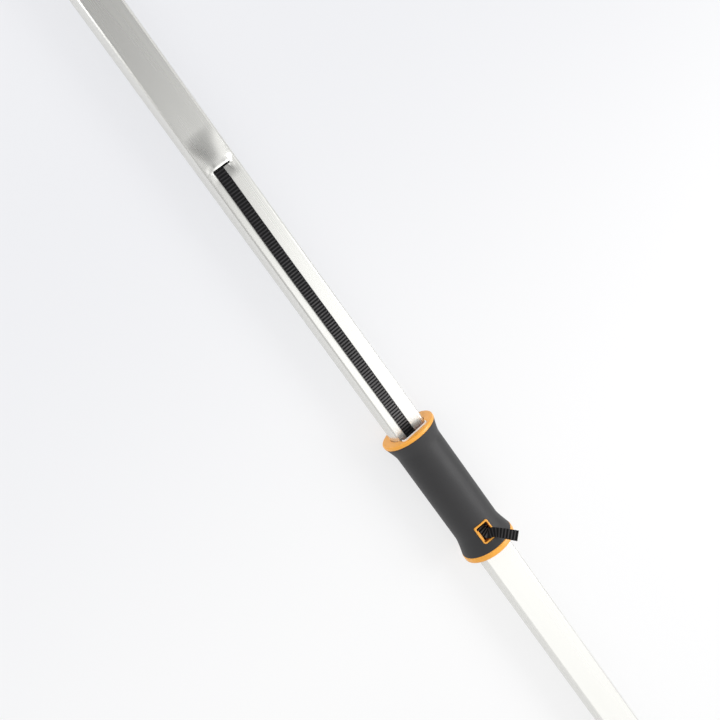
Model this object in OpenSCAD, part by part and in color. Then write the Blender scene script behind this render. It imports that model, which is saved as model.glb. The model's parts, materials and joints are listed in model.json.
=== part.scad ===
// Long-reach tree pruner. A grip that slides on a D-section pole pulls a webbing strap.
// The strap enters the pole at a hooded slot and turns a spool in the head, and a small
// gear on the spool swings the blade past the fixed hook.
// X runs along the pole towards the head and Z is square to the flat strap face.
// The origin is the centre of the hang hole in the end knob.

/* [Pole] */
// Radius of the pole's round back
pole_r = 18; // [16:0.5:20]
// Height of the flat strap face above the pole's axis
flat_z = 9.8; // [8.6:0.2:11]
// Wall thickness of the pole
pole_wall = 1.6; // [1.2:0.1:2]
// Length of the pole tube
pole_l = 1200; // [1000:10:1800]
// Width of the bevel beside the flat face
bevel = 0.9; // [0.5:0.1:1.5]

/* [Strap] */
// Width of the webbing strap
strap_w = 10; // [8:0.5:11]
// Thickness of the webbing strap
strap_t = 1.3; // [1:0.1:1.5]
// Sideways place of the strap on the flat face
strap_y = 3; // [1:0.5:3.5]

/* [Strap slot] */
// Distance from the grip's upper face to the slot
slot_gap = 289.4; // [240:0.2:340]
// Room above and below the strap in the slot
slot_clear = 0.5; // [0.3:0.05:0.6]
// Length of the hood along the pole
hood_l = 44; // [36:1:52]
// Length of the opening between the hood and the ramp
slot_open = 2; // [1.6:0.2:3]
// Depth of the ramp below the flat face
ramp_d = 1.8; // [1.5:0.1:2.2]
// Length of the ramp along the pole
ramp_l = 12; // [10:1:16]
// Width over which the slot has its full height
slot_w = 15.4; // [14.5:0.2:18]
// Width at each end over which the hood and the ramp fade out
slot_fade = 3; // [2:0.2:4]

/* [Grip] */
// Distance from the pole's butt end to the grip's lower face
grip_rest = 400; // [300:5:450]
// Length of the grip with its rings
grip_l = 144.4; // [130:0.2:170]
// Travel of the grip along the pole
grip_travel = 150; // [120:5:170]
// Height of the two rings over the core
ring_h = 6.5; // [5:0.25:8]
// Thickness of the upper ring
ring_top_t = 3.9; // [3:0.1:6]
// Thickness of the lower ring
ring_low_t = 5.7; // [4:0.1:8]
// Radius of the rounded ring edges
ring_edge = 1; // [0.5:0.1:1.5]
// Wall thickness of the moulded core under the sleeve
core_wall = 2.2; // [2.2:0.1:3]
// Thickness of the sleeve at the waist
sleeve_t = 2.2; // [1.6:0.1:3]
// Step from the sleeve up to the edge of the rings
ring_step = 0.7; // [0.3:0.1:1.5]
// Length of the flare below the upper ring
flare_top_l = 15; // [10:0.5:20]
// Length of the flare above the lower ring
flare_low_l = 20; // [12:0.5:25]
// Width of the strap mouth in the upper ring
mouth_w = 29.4; // [26:0.2:30]
// Height of the strap mouth over the channel's roof
mouth_h = 1.2; // [0.4:0.1:2]
// Radius of the strap mouth's corners
mouth_corner = 4; // [2:0.5:5]
// Width of the strap channel inside the core
channel_w = 23; // [20:0.5:24]
// Wall over the strap channel's roof
channel_roof = 1.8; // [1.6:0.1:2]
// Length of each slide bush
bush_l = 12; // [8:1:16]
// Wall thickness of the slide bushes
bush_t = 1.5; // [1.2:0.1:1.7]

/* [Window] */
// Distance from the grip's lower face to the middle of the window
window_up = 24.7; // [22:0.1:40]
// Outer length of the window frame along the pole
frame_l = 20.2; // [18:0.2:24]
// Outer width of the window frame
frame_w = 15.6; // [14.5:0.2:17]
// Width of the frame's bars
frame_bar = 1.6; // [1.4:0.1:2]
// Height of the frame over the sleeve's waist
frame_h = 1.8; // [1:0.1:3]
// Radius of the frame's corners
frame_corner = 2.2; // [2:0.1:3]
// Width of the ledge along one side of the window
ledge_w = 1.2; // [0.8:0.1:1.4]
// Depth of the ledge below the frame
ledge_drop = 3; // [2:0.2:3.4]
// Distance from the middle of the window to the lock bar
bar_up = 0.2; // [-1:0.1:1]
// Height of the lock bar's middle over the flat face
bar_h = 4.7; // [4.4:0.1:5]
// Radius of the lock bar under the window
bar_r = 1.5; // [1.3:0.1:1.7]
// Length over which the strap climbs to the lock bar
climb_l = 20; // [17:0.5:24]
// Wall left over the ends of the lock bar
bar_cover = 0.3; // [0.2:0.1:0.6]

/* [End knob] */
// Distance from the hang hole to the pole's butt end
knob_in = 30; // [26:1:36]
// Distance from the hang hole to the end of the knob
knob_out = 26; // [22:1:32]
// Height of the knob over the pole
knob_h = 6; // [5:0.5:8]
// Width of the slope at the knob's end
knob_edge = 9; // [4:0.5:10]
// Half thickness of the knob at the hang hole
knob_flat = 14; // [11:0.5:16]
// Radius of the hang hole
hang_r = 5; // [4:0.5:6]
// Wall of the bush that lines the hang hole
hang_wall = 2.5; // [1.5:0.5:3]
// Length of the plugs inside the pole's two ends
plug_l = 45; // [40:1:60]
// Radius of the rivets through the plugs
rivet_r = 2.4; // [2:0.1:3]
// Radius of the rivet heads
rivet_head_r = 4.6; // [4:0.1:5.5]
// Height of the rivet heads
rivet_head_h = 1.6; // [1:0.1:2]

/* [Tilt joint] */
// Free length of the neck between its collar and the covers
neck_clear = 5; // [5:0.5:10]
// Radius of the neck's fork ears
ear_r = 20; // [18:0.5:21]
// Half width of the neck behind the ears
neck_half_w = 13; // [12.5:0.5:14]
// Thickness of the neck's collar along the pole
collar_t = 8; // [6:0.5:10]
// Height of the collar over the pole
collar_h = 1.2; // [0.8:0.1:2]
// Radius of the tilt bolt
tilt_bolt_r = 4; // [3.5:0.25:4.5]
// Radius of the strap guide on the tilt bolt
guide_r = 6; // [5.5:0.25:6.5]
// Radius of the tilt knob
tilt_knob_r = 16.5; // [15:0.5:18]
// Height of the lobes on the tilt knob
tilt_lobe_h = 1.2; // [0.6:0.1:2]
// Wall of the tilt knob's threaded insert
insert_wall = 2; // [1.5:0.25:3]
// Number of lobes on the tilt knob
tilt_knob_lobes = 7; // [5:1:9]

/* [Head] */
// Gap between the neck's ears and the spool's flanges
ear_clear = 3.05; // [2.5:0.05:5]
// Wall thickness of the covers
cover_t = 2.5; // [2:0.1:3]
// Reach of the covers past the neck's ears
cover_lip = 5; // [4:0.5:7]
// Space between the spool's flanges and the covers' wall
spool_space = 2.55; // [2:0.05:4]
// Space between the sector's teeth and the covers' wall
sector_space = 0.55; // [0.4:0.05:1.5]
// Radius of the cover screws
screw_r = 2; // [1.6:0.2:2.4]
// Radius of the screw bosses
boss_r = 4.5; // [4.2:0.1:5]
// Radius of the spool axle
axle_r = 4; // [3.5:0.25:4.5]
// Radius of the spool drum
drum_r = 27.95; // [26:0.05:28]
// Height of the spool's flanges over the drum
flange_h = 3; // [2.4:0.1:3]
// Thickness of the spool's flanges
flange_t = 1.5; // [1.2:0.1:2]
// Room beside the strap on its guide
guide_lip = 0.8; // [0.5:0.1:1.2]
// Wall of the round bosses that carry bolts and axles
boss_wall = 3; // [2:0.25:3.5]

/* [Gear] */
// Module of the teeth
gear_m = 1.25; // [1.2:0.01:1.35]
// Teeth of the pinion on the spool
pinion_n = 12; // [12:1:14]
// Teeth that the blade's sector would have on a full circle
sector_n = 60; // [56:2:64]
// Pressure angle of the teeth
gear_pa = 25; // [22:0.5:26]
// Play taken off each flank of a tooth
gear_play = 0.12; // [0.08:0.01:0.2]

/* [Blade and hook] */
// Thickness of the blade
blade_t = 3; // [2:0.2:4]
// Thickness of the hook
hook_t = 5; // [4:0.2:6]
// Radius of the blade's disc round its pivot
blade_disc_r = 16; // [14:0.5:16]
// Width of the ground bevel along the cutting edge
blade_grind = 6; // [4:0.5:8]
// Thickness left at the cutting edge
blade_land = 0.4; // [0.3:0.1:0.8]
// Length of the blade from its pivot to its tip
blade_l = 88; // [75:1:95]
// Radius of the hook's disc round the pivot
hook_disc_r = 12.5; // [11:0.25:13]
// Radius of the pivot bolt
pivot_r = 5; // [4:0.25:5]
// Thickness of the pivot washer
washer_t = 0.9; // [0.6:0.1:1.5]
// Height of the bolt heads and the nut
bolt_head_h = 4; // [3:0.25:5]
// Thickness of the flanges under the bolt heads
bolt_flange_t = 1.5; // [1:0.1:2]
// Radius of the round hollow of the hook
hook_hollow_r = 38; // [34:0.5:38]
// Width of the hook at its deepest place
hook_web = 19; // [16:0.5:20]
// Wire radius of the return spring
wire_r = 0.8; // [0.6:0.05:0.8]
// Turns of the return spring
coil_turns = 4; // [3:0.5:5]

/* [Clearances] */
// Gap round a pin that turns or is pushed in
pin_gap = 0.06; // [0.03:0.01:0.1]
// Gap round a plug, bush or sleeve inside its seat
seat_gap = 0.1; // [0.05:0.05:0.15]
// Gap between the bushes and the pole
slide_gap = 0.3; // [0.3:0.05:0.5]
// Gap between the core and the pole
core_gap = 0.8; // [0.6:0.1:1]
// Gap between parts that pass each other
run_gap = 0.3; // [0.3:0.05:0.5]
// Gap under the blade and between the blade and the hook
blade_gap = 0.15; // [0.1:0.05:0.25]
// Gap between the blade and the spool's lower flange
flange_gap = 0.75; // [0.5:0.05:1]

/* [Hidden] */
$fn = 96;
eps = 0.01;
bevel_a = 28;
far = 100;
// Grip radii, from the pole outwards
core_r = pole_r + core_gap + core_wall;
waist_r = core_r + sleeve_t;
ring_r = core_r + ring_h;
flare_r = ring_r - ring_step;
frame_r = waist_r + frame_h;
channel_r = core_r - channel_roof;
mouth_z = channel_r + mouth_h;
knob_r = pole_r + knob_h;
// Gear circles
pinion_r = gear_m * pinion_n / 2;
sector_r = gear_m * sector_n / 2;
tooth_up = gear_m;
tooth_down = 1.25 * gear_m;
// Outlines of the head
flange_r = drum_r + flange_h;
cover_tilt_r = ear_r + cover_lip;
cover_spool_r = flange_r + spool_space + cover_t;
cover_sector_r = sector_r + tooth_up + sector_space + cover_t;
hook_screw = (blade_disc_r + boss_r + 1.1) * [0.092, -0.996];
cover_nose_r = norm(hook_screw) + boss_r + 1.4;
pivot_boss_r = pivot_r + boss_wall + 1;
coil_r = pivot_boss_r + 2.4 + wire_r;
// Places along the pole
pole_x0 = knob_in;
pole_x1 = pole_x0 + pole_l;
grip_x0 = pole_x0 + grip_rest;
grip_x1 = grip_x0 + grip_l;
slot_x = grip_x1 + slot_gap;
window_x = grip_x0 + window_up;
tilt_x = pole_x1 + collar_t + neck_clear + cover_tilt_r;
spool_off = ear_r + ear_clear + flange_r;
spool_x = tilt_x + spool_off;
pivot_x = spool_x + pinion_r + sector_r;
// Levels in the head, stacked upwards from the lower cover
flange_play = guide_lip + 0.4;
blade_up = washer_t + blade_gap;
flange_up = blade_up + blade_t + flange_gap;
strap_up = flange_up + flange_t + flange_play;
roof_up = strap_up + strap_w + flange_play + flange_t + 1.8;
cavity_z = roof_up / 2;
outer_z = cavity_z + cover_t;
blade_z = blade_up - cavity_z;
hook_z = blade_z + blade_t + blade_gap;
hook_top = hook_z + hook_t;
pinion_lo = 0.6 - cavity_z;
pinion_hi = flange_up - cavity_z;
drum_hi = strap_up + strap_w + flange_play - cavity_z;
spool_top = drum_hi + flange_t;
head_strap_lo = strap_up - cavity_z;
head_strap_hi = head_strap_lo + strap_w;
head_strap_z = (head_strap_lo + head_strap_hi) / 2;
guide_lo = head_strap_lo - guide_lip;
guide_hi = head_strap_hi + guide_lip;
// The tilt knob reaches as low as the grip's rings, so the tool lies level
knob_top = -outer_z - run_gap / 2;
knob_low = -ring_r;
// Strap levels: on the flat face, in the slot and just inside the pole
hood_h = strap_t + 2 * slot_clear + pole_wall - ramp_d;
strap_z = flat_z + strap_t / 2 + run_gap;
slot_z = flat_z - ramp_d + slot_clear + strap_t / 2;
inside_z = flat_z - pole_wall - slot_clear - strap_t / 2;
lead_r = guide_r + strap_t / 2 + pin_gap;
wrap_r = drum_r + strap_t / 2;
// Window and lock bar
window_turn = asin(strap_y / frame_r);
bar_x = window_x + bar_up;
bar_z = flat_z + bar_h;
over_z = bar_z + bar_r + run_gap + strap_t / 2;
bar_l = 2 * sqrt(pow(core_r - bar_cover, 2) - pow(bar_z + bar_r, 2));
// Swing of the blade and the teeth that it needs
blade_open = grip_travel / wrap_r * pinion_n / sector_n * 180 / PI;
tooth_step = 360 / sector_n;
sector_first = -2;
sector_last = ceil(blade_open / tooth_step) + 1;
// Blade arcs, from the pivot: the cutting edge and the spine, which meet at the tip
edge_r = 76;
edge_c = [40, 62];
spine_c = [30, -90];
spine_r = norm([blade_l, 3.2] - spine_c);
// Hook arcs, from the pivot: the hollow that faces the blade and the belly below it
hollow_c = [46, 30];
belly_c = [44, 14];
belly_r = hook_hollow_r + (belly_c - hollow_c)[1] + hook_web;
hook_tip_y = 16;
// Ways into the casing for the neck and out of it for the blade
neck_way = neck_half_w + 1;
blade_way = 8;
// Cover screws: two behind the spool, two beside it and one through the hook
screw_spots = [
  [tilt_x + spool_off * 0.45, 1 - cover_tilt_r], [tilt_x + spool_off * 0.45, cover_tilt_r - 1],
  [spool_x + 8, cover_spool_r + 1], [spool_x + 8, -cover_spool_r - 1], hook_screw + [pivot_x, 0]];
// Rivets in the neck and in the end knob
neck_rivet_spots = [for (d = [0.3, 0.7]) [pole_x1 - plug_l * d, -7]];
knob_rivet_spots = [[pole_x0 + plug_l / 2, 0]];
rivet_low = 4 - pole_r;
// Slide bushes
upper_bush_x = grip_x1 - ring_top_t - 6 - bush_l;
lower_bush_x = grip_x0 + ring_low_t + 3;
// Straight run of the strap from its guide to the wound turns
lead_a = asin((wrap_r - lead_r) / spool_off);
lead_l = spool_off * cos(lead_a) - sqrt(pow(wrap_r + strap_t / 2 + run_gap, 2) - pow(drum_r, 2));

// Routes of the strap: x, y, z and the turn of its width
ramp_x = slot_x - slot_open;
twist_x = slot_x + 2 * hood_l;
plug_x = pole_x1 - plug_l;
inner_route = [
  [slot_x + run_gap, strap_y, slot_z, 0], [slot_x + hood_l / 2, strap_y, (slot_z + inside_z) / 2, 0],
  [slot_x + hood_l, strap_y, inside_z, 0], [twist_x, strap_y, inside_z - 1.5, 0],
  [twist_x + (plug_x - 20 - twist_x) * 0.35, strap_y + 1, 4.5, 25],
  [twist_x + (plug_x - 20 - twist_x) * 0.68, strap_y + 2.5, 3, 60],
  [plug_x - 20, lead_r, head_strap_z, 90], [plug_x, lead_r, head_strap_z, 90],
  [tilt_x - guide_r - 4, lead_r, head_strap_z, 90]];
run_route = [
  [slot_x, strap_y, slot_z, 0], [ramp_x - ramp_l * 0.33, strap_y, slot_z + (strap_z - slot_z) * 0.32, 0],
  [ramp_x - ramp_l * 0.67, strap_y, slot_z + (strap_z - slot_z) * 0.7, 0],
  [ramp_x - ramp_l, strap_y, strap_z, 0], [ramp_x - ramp_l - 8, strap_y, strap_z + 0.05, 0],
  [(slot_x + grip_x1) / 2, strap_y, strap_z + 0.4, 0], [grip_x1, strap_y, strap_z, 0],
  [bar_x + climb_l + 30, strap_y, strap_z, 0], [bar_x + climb_l, strap_y, strap_z, 0]];
tail_route = [
  [bar_x + climb_l - run_gap / 2, strap_y, strap_z, 0],
  [bar_x + climb_l * 0.7, strap_y, strap_z + (over_z - strap_z) * 0.14, 0],
  [bar_x + climb_l * 0.35, strap_y, strap_z + (over_z - strap_z) * 0.6, 0],
  [bar_x + 1, strap_y, over_z, 0], [bar_x - 1.6, strap_y - 0.3, over_z + 1.3, 4],
  [bar_x - 3, strap_y - 1.4, over_z + 4, 24], [bar_x - 3.4, strap_y - 3.4, frame_r - 0.4, 64],
  [bar_x - 5.2, strap_y - 7, frame_r + 3.8, 73], [bar_x - 10.2, strap_y - 12, frame_r + 9.5, 56],
  [bar_x - 16, strap_y - 17.5, frame_r + 14.5, 40]];

// Points on an arc from angle a0 to a1
function arc(c, r, a0, a1, n) =
  [for (i = [0:n]) c + r * [cos(a0 + (a1 - a0) * i / n), sin(a0 + (a1 - a0) * i / n)]];

// Outline of a rectangle with round corners
function round_rect(w, h, r) = concat(
  arc([w / 2 - r, h / 2 - r], r, 0, 90, 5), arc([r - w / 2, h / 2 - r], r, 90, 180, 5),
  arc([r - w / 2, r - h / 2], r, 180, 270, 5), arc([w / 2 - r, r - h / 2], r, 270, 360, 5));

// Smooth curve through a list of points, with n steps between two of them
function bend(a, b, c, d, t) = 0.5 * (2 * b + (c - a) * t + (2 * a - 5 * b + 4 * c - d) * t * t
  + (3 * b - a - 3 * c + d) * t * t * t);
function smooth_route(p, n) = concat([for (i = [0:len(p) - 2]) for (j = [0:n - 1])
  bend(p[max(i - 1, 0)], p[i], p[i + 1], p[min(i + 2, len(p) - 1)], j / n)], [p[len(p) - 1]]);

function unit(v) = v / norm(v);
function place(q) = [q[0], q[1], q[2]];
function heading(q, i) = unit(place(q[min(i + 1, len(q) - 1)]) - place(q[max(i - 1, 0)]));

// Four corners of the strap at step i of a route, from the direction of its width
function strap_corners(q, i, across) =
  let (t = heading(q, i), n = unit(cross(t, across)), w = cross(n, t), c = place(q[i]))
  [for (s = [[1, 1], [-1, 1], [-1, -1], [1, -1]]) c + w * s[0] * strap_w / 2 + n * s[1] * strap_t / 2];

// Closed tube of rings, each ring with the same number of points
module skin(rings) {
  m = len(rings);
  k = len(rings[0]);
  points = [for (r = rings) for (p = r) p];
  sides = [for (i = [0:m - 2]) for (j = [0:k - 1]) for (f = [
    [i * k + j, (i + 1) * k + j, (i + 1) * k + (j + 1) % k],
    [i * k + j, (i + 1) * k + (j + 1) % k, i * k + (j + 1) % k]]) f];
  last = (m - 1) * k;
  ends = [for (j = [1:k - 2]) for (f = [[0, j, j + 1], [last, last + j + 1, last + j]]) f];
  polyhedron(points, concat(sides, ends));
}

// Puts a flat outline across the pole: its x becomes Y and its y becomes Z
module along_x(x) translate([x, 0, 0]) rotate([90, 0, 90]) children();

// Puts a turned shape on the pole's axis
module turned(x) translate([x, 0, 0]) rotate([0, 90, 0]) children();

module drum(c, r, z0, z1) translate([c[0], c[1], z0]) cylinder(r = r, h = z1 - z0);

// Outline of the pole, grown outwards by o
module pole_outline(o) {
  r = pole_r + o;
  h = flat_z + o;
  y = sqrt(r * r - h * h) - bevel;
  low = h - (2 * r - y) * tan(bevel_a);
  intersection() {
    circle(r);
    polygon([[-2 * r, -2 * r], [2 * r, -2 * r], [2 * r, low], [y, h], [-y, h], [-2 * r, low]]);
  }
}

// Shallow pressing in the flat face: a barrel round a cross axis, fading out at both ends
module pressing(x, z, r, drop) {
  half = slot_w / 2;
  translate([x, 0, z]) rotate([90, 0, 0]) rotate_extrude($fn = 200)
    polygon([[0, -half - slot_fade], [r - drop, -half - slot_fade], [r, -half], [r, half],
      [r - drop, half + slot_fade], [0, half + slot_fade]]);
}

// Raised hood on the head side of the slot, grown by o
module hood(o) {
  r = (hood_l * hood_l + hood_h * hood_h) / (2 * hood_h);
  intersection() {
    pressing(slot_x, flat_z + hood_h - r, r + o, hood_h);
    translate([slot_x, -pole_r, flat_z - pole_wall + (o < 0 ? -pole_wall : 0)])
      cube([2 * hood_l, 2 * pole_r, far]);
  }
}

// Pressed ramp on the grip side of the slot, grown by o
module ramp(o) {
  r = (ramp_l * ramp_l + ramp_d * ramp_d) / (2 * ramp_d);
  top = o > 0 ? flat_z - pole_wall / 2 : flat_z + pole_wall;
  intersection() {
    pressing(ramp_x, flat_z - ramp_d + r, r + o, ramp_d);
    translate([ramp_x - 2 * ramp_l, -pole_r, top - far]) cube([2 * ramp_l, 2 * pole_r, far]);
  }
}

module pole_tube() color("silver") difference() {
  union() {
    along_x(pole_x0) linear_extrude(pole_l) difference() {
      pole_outline(0);
      pole_outline(-pole_wall);
    }
    hood(0);
    ramp(pole_wall);
  }
  hood(-pole_wall);
  ramp(0);
  translate([ramp_x, -(slot_w + slot_fade / 2) / 2, 0]) cube([slot_open, slot_w + slot_fade / 2, far]);
  rivet_holes();
}

module rivet_holes()
  for (p = concat(neck_rivet_spots, knob_rivet_spots)) drum(p, rivet_r + pin_gap, rivet_low, pole_r);

module rivets(spots) for (p = spots) {
  drum(p, rivet_r, rivet_low + pin_gap, flat_z + eps);
  dome_r = (rivet_head_r * rivet_head_r + rivet_head_h * rivet_head_h) / (2 * rivet_head_h);
  translate([p[0], p[1], flat_z]) intersection() {
    translate([0, 0, rivet_head_h - dome_r]) sphere(dome_r);
    translate([-far / 2, -far / 2, 0]) cube(far);
  }
}

module strap_inner() color("dimgray") {
  q = smooth_route(inner_route, 5);
  skin([for (i = [0:len(q) - 1]) strap_corners(q, i, [0, cos(q[i][3]), sin(q[i][3])])]);
}

module end_knob() color("dimgray") difference() {
  union() {
    turned(-knob_out) rotate_extrude() polygon(concat([[0, 0]],
      [for (i = [0:12]) let (u = i / 12, x = (knob_out + knob_in) * u, e = 2 * u - 1)
        [min(knob_r * sqrt(1 - 0.4 * e * e), knob_r - knob_edge + 2 * x), x]],
      [[0, knob_out + knob_in]]));
    along_x(pole_x0 - eps) linear_extrude(plug_l) pole_outline(-pole_wall - seat_gap);
  }
  for (s = [0, 1]) mirror([0, 0, s])
    translate([-knob_out - 1, -far / 2, knob_flat]) cube([knob_out + 1 + knob_in / 2, far, far]);
  drum([0, 0], hang_r + hang_wall + pin_gap, -far, far);
  rivet_holes();
}

module hang_bush() color("darkorange") difference() {
  drum([0, 0], hang_r + hang_wall, -knob_flat, knob_flat);
  drum([0, 0], hang_r, -far, far);
}

module knob_rivet() color("gainsboro") rivets(knob_rivet_spots);

module neck() color("dimgray") difference() {
  ear_z = cavity_z - run_gap;
  union() {
    along_x(plug_x) linear_extrude(plug_l + eps) pole_outline(-pole_wall - seat_gap);
    along_x(pole_x1) linear_extrude(collar_t) pole_outline(collar_h);
    translate([pole_x1 + collar_t - eps, -neck_half_w, -ear_z])
      cube([tilt_x - pole_x1 - collar_t + eps, 2 * neck_half_w, 2 * ear_z]);
    drum([tilt_x, 0], ear_r, -ear_z, ear_z);
  }
  // Space between the ears, with the strap's way through the plug
  drum([tilt_x, 0], ear_r + 1, guide_lo - run_gap, guide_hi + run_gap);
  translate([plug_x - 1, lead_r - 3.2, guide_lo - run_gap])
    cube([tilt_x - plug_x, 6.4, guide_hi - guide_lo + 2 * run_gap]);
  drum([tilt_x, 0], tilt_bolt_r + pin_gap, -far, far);
  rivet_holes();
}

module neck_rivets() color("gainsboro") rivets(neck_rivet_spots);

// Radius of the sleeve's flare, from its ring at t = 0 to the waist at t = 1
function flare(t) = waist_r + (flare_r - waist_r) * pow(1 - t, 2) * (1 + 0.4 * t);

// A ring with round edges, t thick, on the grip's axis
module ring(t) rotate_extrude() polygon(concat([[0, 0]],
  arc([ring_r - ring_edge, ring_edge], ring_edge, -90, 0, 5),
  arc([ring_r - ring_edge, t - ring_edge], ring_edge, 0, 90, 5), [[0, t]]));

// Shape above the window, at right angles to the grip's surface
module window_prism(w, l, r, z0, z1)
  translate([window_x, 0, 0]) rotate([-window_turn, 0, 0]) translate([0, 0, z0])
    linear_extrude(z1 - z0) polygon(round_rect(l, w, r));

module bush_seat(x, o) along_x(x) linear_extrude(bush_l + 2 * o) intersection() {
  pole_outline(slide_gap + bush_t + o);
  translate([0, flat_z / 2 - pole_r - 1]) square([3 * pole_r, 2 * pole_r + flat_z], center = true);
}

// Ledge along one long side of the window, below the frame
module window_ledge() {
  side = frame_w / 2 - frame_bar;
  translate([window_x, 0, 0]) rotate([-window_turn, 0, 0])
    translate([-frame_l * 0.36, side - ledge_w, frame_r - ledge_drop - ledge_w])
      cube([frame_l * 0.6, ledge_w + frame_bar / 2, ledge_w]);
}

module grip_core() color("darkorange") {
  difference() {
    union() {
      turned(grip_x0) cylinder(r = core_r, h = grip_l);
      turned(grip_x0) ring(ring_low_t);
      turned(grip_x1 - ring_top_t) ring(ring_top_t);
      intersection() {
        window_prism(frame_w, frame_l, frame_corner, channel_r, ring_r);
        turned(window_x - frame_l) cylinder(r = frame_r, h = 2 * frame_l);
      }
    }
    along_x(grip_x0 - 1) linear_extrude(grip_l + 2) pole_outline(core_gap);
    along_x(grip_x0 + ring_low_t) linear_extrude(grip_l - ring_low_t + 1) intersection() {
      circle(channel_r);
      translate([-channel_w / 2, 0]) square([channel_w, channel_r]);
    }
    along_x(grip_x1 - ring_top_t) linear_extrude(far) translate([0, mouth_z / 2])
      polygon(round_rect(mouth_w, mouth_z, mouth_corner));
    bush_seat(upper_bush_x - seat_gap, seat_gap);
    bush_seat(lower_bush_x - seat_gap, seat_gap);
    window_prism(frame_w - 2 * frame_bar, frame_l - 2 * frame_bar, frame_corner - frame_bar / 2,
      strap_z, far);
    translate([bar_x, 0, bar_z]) rotate([90, 0, 0])
      cylinder(r = bar_r + pin_gap, h = bar_l + 2 * pin_gap, center = true);
  }
  window_ledge();
}

module grip_sleeve() color("dimgray") difference() {
  low = ring_low_t;
  top = grip_l - ring_top_t;
  n = 8;
  turned(grip_x0) rotate_extrude() polygon(concat(
    [[core_r + seat_gap / 2, low]],
    [for (i = [0:n]) [flare(i / n), low + flare_low_l * i / n]],
    [for (i = [n:-1:0]) [flare(i / n), top - flare_top_l * i / n]],
    [[core_r + seat_gap / 2, top]]));
  window_prism(frame_w + 2 * seat_gap, frame_l + 2 * seat_gap, frame_corner + seat_gap, 0, far);
}

// A slide bush: the pole's outline with the strap channel open
module slide_bush(x) difference() {
  bush_seat(x, 0);
  along_x(x - 1) linear_extrude(bush_l + 2) {
    pole_outline(slide_gap);
    translate([-channel_w / 2, 0]) square([channel_w, far]);
  }
}
module upper_bush() color("whitesmoke") slide_bush(upper_bush_x);
module lower_bush() color("whitesmoke") slide_bush(lower_bush_x);

module lock_bar() color("slategray")
  translate([bar_x, 0, bar_z]) rotate([90, 0, 0]) cylinder(r = bar_r, h = bar_l, center = true);

// The strap outside the pole, with its width across the pole
module strap_sweep(route, n) {
  q = smooth_route(route, n);
  skin([for (i = [0:len(q) - 1]) strap_corners(q, i, [-sin(q[i][3]), cos(q[i][3]), 0])]);
}
module strap_run() color("dimgray") strap_sweep(run_route, 4);
module strap_tail() color("dimgray") strap_sweep(tail_route, 6);

// Outline of the covers, drawn in by i
function cover_half(i) =
  let (t = cover_tilt_r - i, s = cover_spool_r - i, p = cover_sector_r - i, f = cover_nose_r - i,
    a = acos((t - s) / spool_off), b = acos((s - p) / (pivot_x - spool_x)))
  concat(arc([tilt_x, 0], t, 180, a, 16), arc([spool_x, 0], s, a, b, 3), arc([pivot_x, 0], p, b, 93, 2),
    arc([pivot_x, 0], f, 55, 0, 12));
function cover_outline(i) = let (h = cover_half(i))
  concat(h, [for (k = [len(h) - 2:-1:1]) [h[k][0], -h[k][1]]]);

module cover_wall(z0, z1) difference() {
  translate([0, 0, z0]) linear_extrude(z1 - z0) difference() {
    polygon(cover_outline(0));
    polygon(cover_outline(cover_t));
  }
  // Way in for the neck and way out for the blade and the hook
  translate([tilt_x - far, -far, -far]) cube([far + neck_way, 2 * far, 2 * far]);
  translate([pivot_x - blade_way, -far, -far]) cube([far, 2 * far, 2 * far]);
}

// One cover before its holes: plate, wall and bosses, from the split at z = 0 to side s
module cover_shell(s) {
  lo = s > 0 ? cavity_z : -outer_z;
  translate([0, 0, lo]) linear_extrude(cover_t) {
    polygon(cover_outline(0));
    for (k = [2, 3]) translate(screw_spots[k]) circle(boss_r + 1);
  }
  cover_wall(s > 0 ? eps : -cavity_z - eps, s > 0 ? cavity_z + eps : -eps);
  for (k = [0:len(screw_spots) - 1])
    drum(screw_spots[k], boss_r, s > 0 ? (k < 4 ? 0 : hook_top) + eps : -cavity_z - eps,
      s > 0 ? cavity_z + eps : (k < 4 ? 0 : hook_z) - eps);
}

module cover_holes() {
  drum([tilt_x, 0], tilt_bolt_r + pin_gap, -far, far);
  drum([spool_x, 0], axle_r + pin_gap, -far, far);
  drum([pivot_x, 0], pivot_r + pin_gap, -far, far);
  for (p = screw_spots) drum(p, screw_r + pin_gap, -far, far);
}

module upper_cover() color("dimgray") difference() {
  union() {
    cover_shell(1);
    drum([pivot_x, 0], pivot_boss_r, hook_top + eps, cavity_z + eps);
    drum([spool_x, 0], axle_r + boss_wall, spool_top + run_gap, cavity_z + eps);
    drum([tilt_x, 0], tilt_bolt_r + boss_wall, cavity_z - run_gap / 2, cavity_z + eps);
  }
  cover_holes();
}

module lower_cover() color("dimgray") difference() {
  union() {
    cover_shell(-1);
    drum([spool_x, 0], axle_r + boss_wall, -cavity_z - eps, pinion_lo - run_gap);
  }
  cover_holes();
}

module cover_screws() color("gainsboro") for (p = screw_spots) {
  drum(p, screw_r, -outer_z, outer_z + eps);
  drum(p, screw_r * 1.9, outer_z, outer_z + screw_r);
}

// Flanged hexagon head on top of the casing
module bolt_head(x, r) {
  drum([x, 0], r * 2, outer_z, outer_z + bolt_flange_t);
  translate([x, 0, outer_z + bolt_flange_t - eps]) cylinder(r = r * 1.6, h = bolt_head_h, $fn = 6);
}

module tilt_bolt() color("gainsboro") {
  drum([tilt_x, 0], tilt_bolt_r, knob_low + bolt_head_h, outer_z + eps);
  bolt_head(tilt_x, tilt_bolt_r);
}

module guide_bush() color("whitesmoke") difference() {
  drum([tilt_x, 0], guide_r, guide_lo, guide_hi);
  drum([tilt_x, 0], tilt_bolt_r + pin_gap, -far, far);
}

module strap_lead() color("dimgray")
  translate([tilt_x, 0, head_strap_lo]) rotate(lead_a) translate([0, lead_r - strap_t / 2, 0])
    cube([lead_l, strap_t, strap_w]);

module spool_axle() color("gainsboro") drum([spool_x, 0], axle_r, -outer_z, outer_z);

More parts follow.
